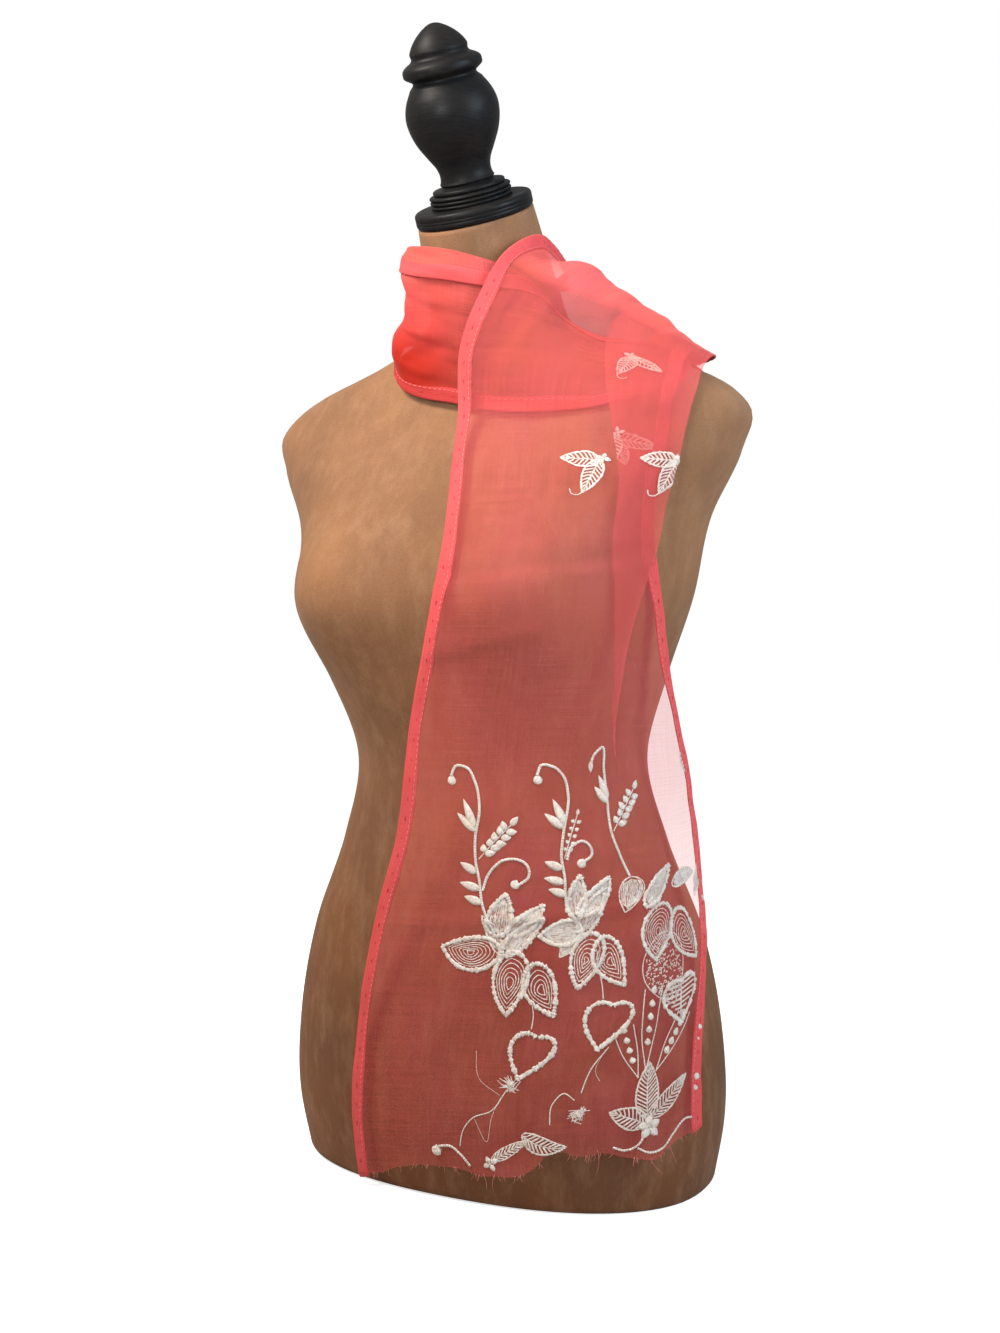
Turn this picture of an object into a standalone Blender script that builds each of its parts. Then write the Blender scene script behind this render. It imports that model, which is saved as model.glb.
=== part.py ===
"""A chiffon scarf wound once round the neck of a limbless dress form.

The form is one smooth padded body on a flat base, with a turned wooden cap and finial on its neck. The
scarf is one long strip of sheer cloth. It starts at the frayed end of the front tail, climbs over the
form's left shoulder, passes behind the neck, comes round the form's right side, crosses the front under
the tail as a band, is gathered on the left shoulder and ends down the back.

Sizes are metres and +Z is up. The form faces -Y. A turn is an angle in degrees round the form, 0 at the
front and 90 at the form's left side (+X). A gap is a distance out from the form's surface.
"""

import math

import bmesh
import bpy
import numpy as np

# The figure that the form is padded to.
SHOULDER_TOP = 0.635
ROUNDNESS = 2.25  # 2 is an ellipse, and more is squarer
BUST_LIFT, BUST_SIDE, BUST_HEIGHT = 0.020, 0.075, 0.430
BUST_WIDE, BUST_TALL = 0.048, 0.052
NECK_TILT = math.radians(26)  # forward from upright
NECK_FOOT = np.array([0.0, 0.012, 0.610])
NECK_LENGTH = 0.1127
NECK_RADIUS_LOW, NECK_RADIUS_HIGH = 0.054, 0.0435
NECK_BLEND = 0.022  # how softly the neck runs into the shoulders
NECK_AXIS = np.array([0, -math.sin(NECK_TILT), math.cos(NECK_TILT)])
NECK_SINK = 0.02  # how far the neck runs down inside the shoulders
LEAN_RISE = 0.03  # the height over which the figure's middle moves from the torso's to the neck's
BASE_ROUNDING = 0.006
SLOPE_STEP = 0.001
FARTHEST, HALVINGS = 0.35, 24  # how the figure's surface is found along a direction
FIGURE_SIDES = 48
BASE_RINGS = 3  # rings round the base's rounded edge
SHARP_ANGLE = math.radians(40)  # an edge bent by more than this stays sharp
TORSO_HEIGHTS = (
    *(0.006, 0.03, 0.06, 0.09, 0.12, 0.15, 0.18, 0.21, 0.24, 0.27, 0.30, 0.33, 0.36, 0.385, 0.41),
    *(0.43, 0.45, 0.475, 0.50, 0.52, 0.54, 0.553, 0.565, 0.575, 0.584, 0.592, 0.60, 0.607),
)
NECK_START, NECK_RINGS, NECK_TURNED = 0.012, 10, 0.6  # the rings turn to the neck's tilt over this share

# The turned wood, in millimetres.
MM = 0.001
FINIAL_ROWS = (0, 0.7, 2.3, 3.1, 3.5, 6, 9, 12, 15.5, 19, 23, 27.5, 32, 37, 42, 47, 52, 57, 61, 65, 69, 73, 76.5)
FINIAL_ROWS += (79, 79.8, 80.6, 81.8, 83.6, 85.6, 87.6, 89.4, 90.6, 91.4, 92.2, 95, 98.5, 102, 105, 107.5, 110)
FINIAL_ROWS += (112, 113.4, 114.4, 114.9)
PIECE_GAP = 0.0003
TURNED_SIDES = 40
PLATE_RADIUS, PLATE_THICK, EDGE_ROUND = 44.0, 11.5, 3.0
PLATE_UNDERCUT, PLATE_ARC = 60, 3  # degrees rounded under the plate's edge, and lengths in an arc
STEPS, STEP_TALL, STEP_RADIUS, STEP_GROOVE = 3, 3.0, 30.5, 1.8
STEP_BULGE = 0.4 * STEP_TALL
STEP_TURN, STEP_ARC = 70, 4  # degrees rounded above and below a step's middle, and lengths in them
CAP_TALL = PLATE_THICK + STEPS * STEP_TALL

# The scarf.
WALL = 0.001
SEAM_GAP = 0.0004  # between two stretches of the scarf, and between a hem and its panel
LAYER_STEP = 0.0024  # from one layer of the pleat to the next, middle to middle
FOLD_RADIUS = 0.0016
HEM_WIDTH = 0.010
LAYER_CLEARANCE = 0.009  # of the outer turn's top layer over the inner turn
LIFT_ROUNDS, LIFT_REACH, LIFT_DEPTH = 3, 0.015, 0.030
STRIP_EASING, OUTER_EASING = 2, 3  # rounds of easing over the whole strip, and over its outer turn
OUTER_PASSES = 2  # how often the outer turn is lifted clear and eased
ROW_SPACING = 0.018
FLAT_FOLD = 0.004  # a fold narrower than this lies flat
RUN_TO_LENGTH = 0.85  # how far the cloth really goes for each metre of run
TURN_PIECES = {"pleat": (7, 4, 3), "flap": (2, 8), "plain": (9,)}  # pieces between the turns
SECTION_POINTS = 25
PATH_STEPS = 400
EDGE_TO_EDGE = SECTION_POINTS - 1


class Table:
    """Rows of named columns, read as smooth curves along the first column."""

    def __init__(self, names, rows):
        self.names = names.split()
        self.rows = np.array(rows, float)

    def column(self, name):
        return self.rows[:, self.names.index(name)]

    def at(self, name, place):
        xs, ys = self.rows[:, 0], self.column(name)
        steps = np.diff(xs)
        slopes = np.diff(ys) / steps
        tangents = np.empty(len(xs))
        tangents[0], tangents[-1] = slopes[0], slopes[-1]
        tangents[1:-1] = (slopes[:-1] * steps[1:] + slopes[1:] * steps[:-1]) / (steps[1:] + steps[:-1])
        place = np.clip(place, xs[0], xs[-1])
        k = np.clip(np.searchsorted(xs, place) - 1, 0, len(xs) - 2)
        u = (place - xs[k]) / steps[k]
        start = (2 * u**3 - 3 * u**2 + 1) * ys[k] + (u**3 - 2 * u**2 + u) * steps[k] * tangents[k]
        end = (3 * u**2 - 2 * u**3) * ys[k + 1] + (u**3 - u**2) * steps[k] * tangents[k + 1]
        return start + end


# The finial's outline above the cap: foot, stem, bulb, bead ring and rounded top.
FINIAL = Table(
    "along radius",
    [
        (0, 26.2),
        (0.7, 27.0),
        (2.3, 27.0),
        (3.1, 26.2),
        (3.5, 23.0),
        (6.5, 20.4),
        (12, 19.0),
        (18, 20.2),
        (26, 24.6),
        (36, 30.0),
        (48, 33.6),
        (56, 34.0),
        (66, 31.2),
        (74, 26.6),
        (79, 23.8),
        (80.2, 25.6),
        (82, 28.2),
        (85, 29.0),
        (88.4, 28.0),
        (90.6, 25.2),
        (92, 22.4),
        (98, 21.0),
        (104, 17.4),
        (109, 12.4),
        (112.6, 7.2),
        (114.6, 2.6),
        (114.9, 1.2),
    ],
)
FIGURE = Table(
    "height half_width front back",
    [
        (0.000, 0.163, 0.097, 0.106),
        (0.050, 0.171, 0.108, 0.118),
        (0.110, 0.168, 0.111, 0.123),
        (0.180, 0.154, 0.104, 0.115),
        (0.250, 0.127, 0.093, 0.094),
        (0.310, 0.113, 0.092, 0.078),
        (0.370, 0.129, 0.112, 0.081),
        (0.430, 0.150, 0.130, 0.091),
        (0.490, 0.164, 0.112, 0.100),
        (0.535, 0.188, 0.087, 0.098),
        (0.565, 0.195, 0.066, 0.084),
        (0.590, 0.162, 0.052, 0.067),
        (0.610, 0.103, 0.046, 0.056),
        (0.635, 0.050, 0.040, 0.046),
    ],
)
HIP_ROW, BUST_ROW = 2, 7
BRIDGED = {"half_width": 0.6, "front": 0.85, "back": 0.8}  # how far cloth hangs clear of the waist

# One row for each section across the scarf, from the frayed end of the front tail to the end down the
# back. The hem columns place its left hem, which becomes the top of the neck band, and the edge columns
# its other edge or, where the pleat hides that, the pleat's outer fold. Fold and crease are where the
# pleat turns back, as shares of the section, and flap is how far the top edge is turned over.
WINDING = Table(
    "run hem_turn hem_height hem_gap edge_turn edge_height edge_gap",
    [
        (0.000, -33, 0.005, 0.009, 80, 0.056, 0.006),
        (0.060, -30, 0.067, 0.009, 81, 0.105, 0.006),
        (0.115, -27, 0.121, 0.008, 85, 0.145, 0.006),
        (0.165, -22, 0.168, 0.008, 90, 0.185, 0.006),
        (0.215, -16, 0.215, 0.008, 95, 0.225, 0.006),
        (0.265, -8, 0.260, 0.008, 99, 0.265, 0.006),
        (0.310, -4, 0.305, 0.008, 98, 0.306, 0.006),
        (0.350, -1, 0.345, 0.008, 90, 0.343, 0.006),
        (0.390, 5, 0.385, 0.008, 80, 0.383, 0.006),
        (0.430, 9, 0.422, 0.008, 75, 0.422, 0.007),
        (0.470, 12, 0.455, 0.008, 70, 0.458, 0.009),
        (0.520, 11, 0.500, 0.008, 71, 0.500, 0.010),
        (0.570, 9, 0.540, 0.009, 73, 0.538, 0.010),
        (0.610, 9, 0.580, 0.012, 75, 0.562, 0.012),
        (0.650, 12, 0.615, 0.015, 78, 0.578, 0.013),
        (0.680, 18, 0.639, 0.016, 80, 0.588, 0.013),
        (0.705, 27, 0.659, 0.015, 83, 0.595, 0.012),
        (0.725, 34, 0.669, 0.014, 86, 0.598, 0.012),
        (0.745, 42, 0.678, 0.013, 89, 0.600, 0.012),
        (0.765, 61, 0.688, 0.012, 93, 0.600, 0.012),
        (0.785, 76, 0.694, 0.011, 98, 0.600, 0.012),
        (0.810, 92, 0.695, 0.010, 106, 0.597, 0.012),
        (0.840, 110, 0.687, 0.010, 119, 0.590, 0.012),
        (0.880, 135, 0.677, 0.010, 138, 0.582, 0.012),
        (0.920, 160, 0.676, 0.010, 160, 0.577, 0.012),
        (0.960, 185, 0.679, 0.010, 182, 0.576, 0.011),
        (1.000, 212, 0.683, 0.010, 207, 0.580, 0.012),
        (1.035, 238, 0.687, 0.010, 232, 0.602, 0.012),
        (1.060, 256, 0.688, 0.010, 252, 0.622, 0.010),
        (1.085, 272, 0.689, 0.010, 270, 0.629, 0.007),
        (1.110, 288, 0.690, 0.010, 286, 0.625, 0.005),
        (1.140, 304, 0.689, 0.010, 301, 0.608, 0.006),
        (1.165, 322, 0.687, 0.010, 314, 0.588, 0.008),
        (1.190, 342, 0.683, 0.009, 335, 0.576, 0.007),
        (1.215, 360, 0.679, 0.009, 358, 0.571, 0.006),
        (1.240, 377, 0.674, 0.008, 376, 0.564, 0.006),
        (1.265, 392, 0.669, 0.007, 395, 0.559, 0.005),
        (1.290, 408, 0.664, 0.006, 410, 0.558, 0.005),
        (1.315, 424, 0.653, 0.006, 420, 0.560, 0.005),
        (1.340, 430, 0.635, 0.006, 429, 0.566, 0.005),
        (1.365, 433, 0.616, 0.006, 436, 0.573, 0.005),
        (1.390, 441, 0.610, 0.006, 441, 0.585, 0.004),
        (1.415, 455, 0.609, 0.006, 449, 0.598, 0.004),
        (1.440, 476, 0.603, 0.006, 462, 0.594, 0.004),
        (1.470, 500, 0.588, 0.006, 479, 0.572, 0.005),
        (1.510, 526, 0.560, 0.006, 493, 0.530, 0.005),
        (1.560, 548, 0.512, 0.006, 504, 0.480, 0.005),
        (1.620, 563, 0.450, 0.006, 511, 0.420, 0.005),
        (1.690, 571, 0.378, 0.006, 515, 0.350, 0.005),
        (1.760, 575, 0.305, 0.006, 517, 0.285, 0.005),
    ],
)
# The pleat's outer fold, its inner crease and the cloth's hidden edge, as shares of the section.
PLEAT = Table(
    "run fold crease under",
    [
        (0.000, 0.63, 0.63, 1.00),
        (0.270, 0.63, 0.63, 1.00),
        (0.310, 0.63, 0.63, 1.00),
        (0.350, 0.67, 0.655, 1.00),
        (0.390, 0.76, 0.71, 1.00),
        (0.430, 0.86, 0.74, 1.00),
        (0.470, 0.98, 0.76, 0.98),
        (0.520, 1.00, 0.76, 0.94),
        (0.570, 1.00, 0.70, 0.93),
        (0.650, 1.00, 0.59, 0.92),
        (0.750, 1.00, 0.58, 0.92),
        (0.820, 0.96, 0.67, 0.94),
        (0.880, 0.88, 0.76, 0.95),
        (0.930, 0.84, 0.74, 0.97),
        (1.060, 0.80, 0.72, 0.98),
    ],
)
# Soft ridges and troughs: where each is centred, as a run and a share of the section, its half length
# along the run, its half width as a share, and how far it rises in metres.
FOLDS = Table(
    "run share length width rise",
    [
        (0.000, 0.16, 0.150, 0.07, 0.003),
        (0.010, 0.47, 0.110, 0.09, 0.004),
        (0.020, 0.83, 0.130, 0.07, 0.003),
        (0.560, 0.35, 0.120, 0.16, 0.003),
        (0.795, 0.12, 0.055, 0.09, -0.016),
        (0.860, 0.60, 0.070, 0.14, 0.004),
        (0.990, 0.35, 0.080, 0.12, 0.003),
        (1.140, 0.56, 0.050, 0.15, -0.009),
        (1.150, 0.95, 0.050, 0.14, -0.005),
        (1.160, 0.74, 0.045, 0.14, 0.004),
        (1.220, 0.45, 0.060, 0.10, 0.003),
        (1.280, 0.70, 0.060, 0.12, 0.002),
        (1.600, 0.22, 0.140, 0.09, 0.005),
        (1.650, 0.52, 0.120, 0.10, 0.006),
        (1.700, 0.80, 0.160, 0.08, 0.005),
    ],
)
# How far the neck band's top edge is turned over outwards, in metres.
FLAP = Table(
    "run depth",
    [
        (1.060, 0.009),
        (1.110, 0.011),
        (1.150, 0.019),
        (1.240, 0.022),
        (1.320, 0.016),
        (1.415, 0.009),
    ],
)
TAIL_END, WRAP_END, BAND_END, BACK_END = 0.650, 1.060, 1.415, 1.760
OUTER_END, INNER_START = 1.000, 1.150  # the runs that lie over others, and those that lie under
RUNS = np.linspace(0, BACK_END, 177)
# Each stretch that shows: name, first and last run, how it is folded, and its hems with where they end.
STRETCHES = (
    ("front_tail", 0, TAIL_END, "pleat", (("tail_left_hem", "hem", None), ("tail_right_hem", "edge", 0.44))),
    ("neck_wrap", TAIL_END, WRAP_END, "pleat", (("wrap_top_hem", "hem", None),)),
    ("neck_band", WRAP_END, BAND_END, "flap", (("band_lower_hem", "edge", None),)),
    ("back_tail", BAND_END, BACK_END, "plain", (("back_left_hem", "hem", None), ("back_right_hem", "edge", None))),
)

CLOTH = {"colour": (0.85, 0.12, 0.12), "roughness": 0.7}
HEM_CLOTH = {"colour": (0.80, 0.10, 0.11), "roughness": 0.7}
FORM = {"colour": (0.28, 0.15, 0.08), "roughness": 0.9}
WOOD = {"colour": (0.012, 0.012, 0.013), "roughness": 0.4}


def bridged(figure):
    """The figure as hanging cloth meets it: straighter from hip to bust than the waist is."""
    rows = figure.rows.copy()
    low, high = rows[HIP_ROW], rows[BUST_ROW]
    for name, share in BRIDGED.items():
        k = figure.names.index(name)
        for row in rows[HIP_ROW + 1 : BUST_ROW]:
            straight = np.interp(row[0], (low[0], high[0]), (low[k], high[k]))
            row[k] += share * max(0.0, straight - row[k])
    return Table(" ".join(figure.names), rows)


HANGING = bridged(FIGURE)


def torso_radius(across, back, height, figure):
    """The torso's radius at a height, in the level direction (across, back)."""
    half_width = figure.at("half_width", height)
    depth = np.where(back < 0, figure.at("front", height), figure.at("back", height))
    radius = (np.abs(across / half_width) ** ROUNDNESS + np.abs(back / depth) ** ROUNDNESS) ** (-1 / ROUNDNESS)
    side = (np.abs(radius * across) - BUST_SIDE) / BUST_WIDE
    level = (height - BUST_HEIGHT) / BUST_TALL
    return radius + BUST_LIFT * np.exp(-(side**2) - level**2) * np.clip(-1.6 * back, 0, 1)


def figure_distance(points, figure):
    """How far points lie outside the figure, nearly, and negative inside it."""
    height = np.clip(points[..., 2], 0, SHOULDER_TOP)
    level = np.hypot(points[..., 0], points[..., 1]) + 1e-9
    across, back = points[..., 0] / level, points[..., 1] / level
    above = torso_radius(across, back, np.clip(height + SLOPE_STEP, 0, SHOULDER_TOP), figure)
    below = torso_radius(across, back, np.clip(height - SLOPE_STEP, 0, SHOULDER_TOP), figure)
    slope = (above - below) / (2 * SLOPE_STEP)
    torso = (level - torso_radius(across, back, height, figure)) / np.sqrt(1 + slope**2)
    torso = torso + 2 * np.maximum(points[..., 2] - SHOULDER_TOP, 0)
    offset = points - NECK_FOOT
    along = offset @ NECK_AXIS
    away = np.linalg.norm(offset - along[..., None] * NECK_AXIS, axis=-1)
    radius = np.interp(along, (0, NECK_LENGTH), (NECK_RADIUS_LOW, NECK_RADIUS_HIGH))
    neck = np.maximum(away - radius, -along - NECK_SINK)
    share = np.clip(0.5 + 0.5 * (neck - torso) / NECK_BLEND, 0, 1)
    return neck * (1 - share) + torso * share - NECK_BLEND * share * (1 - share)


def centre_line(height):
    """The figure's middle at a height: upright through the torso, then forward along the neck."""
    rise = np.maximum(np.asarray(height, float) - NECK_FOOT[2], 0)
    lean = np.clip(rise / LEAN_RISE, 0, 1)
    y = lean * NECK_FOOT[1] - rise * math.tan(NECK_TILT)
    return np.stack([np.zeros_like(rise), y, np.asarray(height, float)], axis=-1)


def level_direction(turn):
    angle = np.radians(turn)
    return np.stack([np.sin(angle), -np.cos(angle), np.zeros_like(angle)], axis=-1)


def reach(start, direction, gap, figure):
    """How far along each direction the figure's surface lies at a gap, by halving."""
    near = np.zeros(start.shape[:-1])
    far = near + FARTHEST
    for _ in range(HALVINGS):
        middle = (near + far) / 2
        inside = figure_distance(start + middle[..., None] * direction, figure) < gap
        near, far = np.where(inside, middle, near), np.where(inside, far, middle)
    return near


def laid(turn, height, gap):
    """The point at a turn and height that lies a gap out from the hanging figure."""
    start = centre_line(height)
    direction = level_direction(turn)
    return start + reach(start, direction, gap, HANGING)[..., None] * direction


def evenly(line, count):
    """A line's points moved to equal steps along it."""
    steps = np.linalg.norm(np.diff(line, axis=0), axis=1)
    walked = np.concatenate([[0], np.cumsum(steps)])
    places = np.linspace(0, walked[-1], count)
    return np.stack([np.interp(places, walked, line[:, k]) for k in range(3)], axis=1)


def section_line(run):
    """The scarf's section at a run: straight from hem to edge, or laid on the figure where that is inside."""
    ends = [
        laid(*(np.array(WINDING.at(f"{side}_{what}", run)) for what in ("turn", "height", "gap")))
        for side in ("hem", "edge")
    ]
    share = np.linspace(0, 1, 3 * SECTION_POINTS)[:, None]
    line = ends[0] * (1 - share) + ends[1] * share
    gap = WINDING.at("hem_gap", run) * (1 - share[:, 0]) + WINDING.at("edge_gap", run) * share[:, 0]
    start = centre_line(line[:, 2])
    outward = line - start
    straight = np.linalg.norm(outward, axis=1)
    direction = outward / straight[:, None]
    radius = np.maximum(straight, reach(start, direction, gap, HANGING))
    return evenly(start + radius[:, None] * direction, SECTION_POINTS)


def normals_of(grid):
    """Unit normals of a grid of points, pointing out of the figure."""
    along, across = np.gradient(grid, axis=0), np.gradient(grid, axis=1)
    normals = np.cross(across, along)
    normals /= np.linalg.norm(normals, axis=-1, keepdims=True) + 1e-12
    outward = grid - centre_line(grid[..., 2])
    return normals * np.sign(np.sum(normals * outward))


def softened(grid, rounds):
    """A grid with its inner points eased towards their neighbours, and its long edges along themselves."""
    grid = grid.copy()
    for _ in range(rounds):
        beside = (grid[:-2, 1:-1] + grid[2:, 1:-1] + grid[1:-1, :-2] + grid[1:-1, 2:]) / 4
        edges = (grid[:-2, ::EDGE_TO_EDGE] + grid[2:, ::EDGE_TO_EDGE]) / 2
        grid[1:-1, 1:-1] = (grid[1:-1, 1:-1] + beside) / 2
        grid[1:-1, ::EDGE_TO_EDGE] = (grid[1:-1, ::EDGE_TO_EDGE] + edges) / 2
    return grid


def lifted(grid, under, clearance):
    """A grid moved out where it comes nearer than a clearance to the layer under it."""
    points = under.reshape(-1, 3)
    normals = normals_of(under).reshape(-1, 3)
    flat = grid.reshape(-1, 3)
    for _ in range(LIFT_ROUNDS):
        apart = np.linalg.norm(flat[:, None] - points[None], axis=2)
        nearest = apart.argmin(axis=1)
        above = np.sum((flat - points[nearest]) * normals[nearest], axis=1)
        beside = np.sqrt(np.maximum(apart.min(axis=1) ** 2 - above**2, 0))
        push = np.where((beside < LIFT_REACH) & (above > -LIFT_DEPTH), clearance - above, 0)
        flat = flat + np.maximum(push, 0)[:, None] * normals[nearest]
    return flat.reshape(grid.shape)


def ridges():
    """How far FOLDS raise each point of the scarf's grid."""
    share = np.linspace(0, 1, SECTION_POINTS)
    rise = np.zeros((len(RUNS), SECTION_POINTS))
    for run, middle, length, width, height in FOLDS.rows:
        along = np.exp(-(((RUNS - run) / length) ** 2))
        rise += height * along[:, None] * np.exp(-(((share - middle) / width) ** 2))
    return rise


def strip_grid():
    """The whole scarf's middle surface, a row of points for each of RUNS, its outer turn over its inner."""
    grid = softened(np.array([section_line(run) for run in RUNS]), STRIP_EASING)
    grid += ridges()[..., None] * normals_of(grid)
    outer, inner = RUNS < OUTER_END, RUNS > INNER_START
    for _ in range(OUTER_PASSES):
        grid[outer] = lifted(grid[outer], grid[inner], LAYER_CLEARANCE)
        grid[RUNS < WRAP_END] = softened(grid[RUNS < WRAP_END], OUTER_EASING)
    return grid


def eased(place):
    """0 up to -1, 1 from 1 on, and smooth between."""
    place = np.clip(place, -1, 1)
    return 0.5 + 0.75 * place - 0.25 * place**3


def folded_path(run, length, kind):
    """The cloth's path across a section: distances from the hem line, and heights over the surface.

    kind is "pleat", "flap" or "plain".
    """
    fold, crease, under = (float(PLEAT.at(name, run)) * length for name in ("fold", "crease", "under"))
    doubled = max(fold - crease, 0) if kind == "pleat" else 0
    half = max(min(FOLD_RADIUS, doubled / 2), FLAT_FOLD / 2) if kind == "pleat" else FOLD_RADIUS
    if kind == "pleat":
        turns = (fold, fold + doubled)
        end = under + 2 * doubled
    elif kind == "flap":
        turns = (float(FLAP.at("depth", run)),)
        end = length + turns[0]
    else:
        turns = ()
        end = length
    cloth = np.linspace(0, end, PATH_STEPS)
    past = [eased((cloth - place) / FOLD_RADIUS) for place in turns]
    start, slope, over = 0, np.ones_like(cloth), np.zeros_like(cloth)
    if kind == "pleat":
        pleated = min(doubled / FLAT_FOLD, 1)
        slope, over = 1 - 2 * pleated * (past[0] - past[1]), -pleated * (past[0] + past[1])
    elif kind == "flap":
        start, slope, over = turns[0], 2 * past[0] - 1, 1 - past[0]
    along = start + np.concatenate([[0], np.cumsum((slope[1:] + slope[:-1]) / 2 * cloth[1])])
    places = [0.0] if kind == "flap" else [0.0, HEM_WIDTH]
    for turn, pieces in zip(turns, TURN_PIECES[kind]):
        near = max(turn - half, places[-1] + FLAT_FOLD / 2)
        places += list(np.linspace(places[-1], near, pieces + 1)[1:])
        places += list(near + 2 * half * np.array([0.25, 0.5, 0.75, 1]))
    places += list(np.linspace(places[-1], end - HEM_WIDTH, TURN_PIECES[kind][-1] + 1)[1:]) + [end]
    return np.interp(places, cloth, along), LAYER_STEP * np.interp(places, cloth, over)


def across_line(line, along):
    """Points at distances along a line, carrying straight on past its ends, and the line's direction."""
    steps = np.diff(line, axis=0)
    lengths = np.linalg.norm(steps, axis=1)
    walked = np.concatenate([[0], np.cumsum(lengths)])
    inside = np.clip(along, 0, walked[-1])
    k = np.clip(np.searchsorted(walked, inside) - 1, 0, len(lengths) - 1)
    direction = steps[k] / lengths[k, None]
    return line[k] + (along - walked[k])[:, None] * direction, direction, k, (inside - walked[k]) / lengths[k]


def sheet_points(grid, start, stop, kind):
    """A stretch's middle surface between two runs, with its folds, and the directions out of its wall."""
    normals = normals_of(grid)
    points, outward = [], []
    for run in np.linspace(start, stop, round((stop - start) / ROW_SPACING) + 1):
        row = min(int(run / RUNS[1]), len(RUNS) - 2)
        share = run / RUNS[1] - row
        line = grid[row] * (1 - share) + grid[row + 1] * share
        normal = normals[row] * (1 - share) + normals[row + 1] * share
        length = np.linalg.norm(np.diff(line, axis=0), axis=1).sum()
        along, over = folded_path(run, length, kind)
        place, direction, k, part = across_line(line, along)
        up = normal[k] * (1 - part)[:, None] + normal[k + 1] * part[:, None]
        up /= np.linalg.norm(up, axis=1, keepdims=True)
        ahead, rise = np.gradient(along), np.gradient(over)
        size = np.hypot(ahead, rise)
        points.append(place + over[:, None] * up)
        outward.append((-rise / size)[:, None] * direction + (ahead / size)[:, None] * up)
    return np.array(points), np.array(outward)


def add_object(name, verts, faces, look):
    """A mesh object with its own material, its faces turned outwards."""
    mesh = bpy.data.meshes.new(name)
    mesh.from_pydata([tuple(vert) for vert in verts], [], faces)
    tidy = bmesh.new()
    tidy.from_mesh(mesh)
    bmesh.ops.recalc_face_normals(tidy, faces=tidy.faces)
    tidy.to_mesh(mesh)
    tidy.free()
    mesh.shade_smooth()
    mesh.set_sharp_from_angle(angle=SHARP_ANGLE)
    thing = bpy.data.objects.new(name, mesh)
    bpy.context.scene.collection.objects.link(thing)
    material = bpy.data.materials.new(name)
    material.use_nodes = True
    shader = material.node_tree.nodes["Principled BSDF"]
    shader.inputs["Base Color"].default_value = (*look["colour"], 1)
    shader.inputs["Roughness"].default_value = look["roughness"]
    shader.inputs["Metallic"].default_value = 0
    mesh.materials.append(material)
    return thing


def add_wall(name, points, outward, look):
    """A thin closed wall on a middle surface."""
    rows, columns = points.shape[:2]
    front = (points + outward * WALL / 2).reshape(-1, 3)
    back = (points - outward * WALL / 2).reshape(-1, 3)
    spots = np.arange(rows * columns).reshape(rows, columns)
    far = rows * columns
    faces = []
    for i in range(rows - 1):
        for j in range(columns - 1):
            a, b, c, d = spots[i, j], spots[i, j + 1], spots[i + 1, j + 1], spots[i + 1, j]
            faces += [(a, b, c), (a, c, d), (far + a, far + c, far + b), (far + a, far + d, far + c)]
    rim = [*spots[0], *spots[1:, -1], *spots[-1, -2::-1], *spots[-2:0:-1, 0]]
    for a, b in zip(rim, rim[1:] + rim[:1]):
        faces += [(a, far + a, far + b), (a, far + b, b)]
    add_object(name, np.concatenate([front, back]), [tuple(int(v) for v in face) for face in faces], look)


def add_scarf():
    """The scarf's stretches and the hems folded on them."""
    grid = strip_grid()
    half_seam = SEAM_GAP / 2 / RUN_TO_LENGTH
    for name, start, stop, kind, hems in STRETCHES:
        begin = start + (half_seam if start > 0 else 0)
        points, outward = sheet_points(grid, begin, stop - (half_seam if stop < BACK_END else 0), kind)
        add_wall(name, points, outward, CLOTH)
        for hem_name, side, hem_stop in hems:
            columns = slice(0, 2) if side == "hem" else slice(-2, None)
            shown = len(points) if hem_stop is None else round(hem_stop / ROW_SPACING)
            lift = outward[:shown, columns] * (WALL + SEAM_GAP)
            add_wall(hem_name, points[:shown, columns] + lift, outward[:shown, columns], HEM_CLOTH)


def add_rings(name, rings, look):
    """A closed solid through rings of equal count, with flat ends."""
    count = len(rings[0])
    faces = [tuple(range(count)), tuple((len(rings) - 1) * count + k for k in range(count))]
    for i in range(len(rings) - 1):
        for k in range(count):
            a, b = i * count + k, i * count + (k + 1) % count
            faces.append((a, b, b + count, a + count))
    return add_object(name, np.concatenate(rings), faces, look)


def form_ring(centre, tilt, inset):
    """A ring of the figure in a plane tilted forward from level, drawn in by an inset."""
    angle = np.linspace(0, 2 * math.pi, FIGURE_SIDES, endpoint=False)
    across, back = np.cos(angle), np.sin(angle)
    direction = np.stack([across, back * math.cos(tilt), back * math.sin(tilt)], axis=1)
    start = np.repeat(np.asarray(centre, float)[None], FIGURE_SIDES, axis=0)
    radius = reach(start, direction, np.zeros(FIGURE_SIDES), FIGURE) - inset
    return start + radius[:, None] * direction


def add_form():
    """The padded torso and neck as one smooth body with a flat underside."""
    rings = []
    for angle in np.linspace(0, math.pi / 2, BASE_RINGS, endpoint=False):
        height = BASE_ROUNDING * (1 - math.cos(angle))
        rings.append(form_ring((0, 0, height), 0, BASE_ROUNDING * (1 - math.sin(angle))))
    for height in TORSO_HEIGHTS:
        rings.append(form_ring((0, 0, height), 0, 0))
    for share in np.linspace(0, 1, NECK_RINGS):
        along = NECK_START + (NECK_LENGTH - NECK_START) * share
        centre = NECK_FOOT + along * NECK_AXIS
        rings.append(form_ring(centre, NECK_TILT * eased(2 * share / NECK_TURNED - 1), 0))
    add_rings("form_body", rings, FORM)


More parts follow.
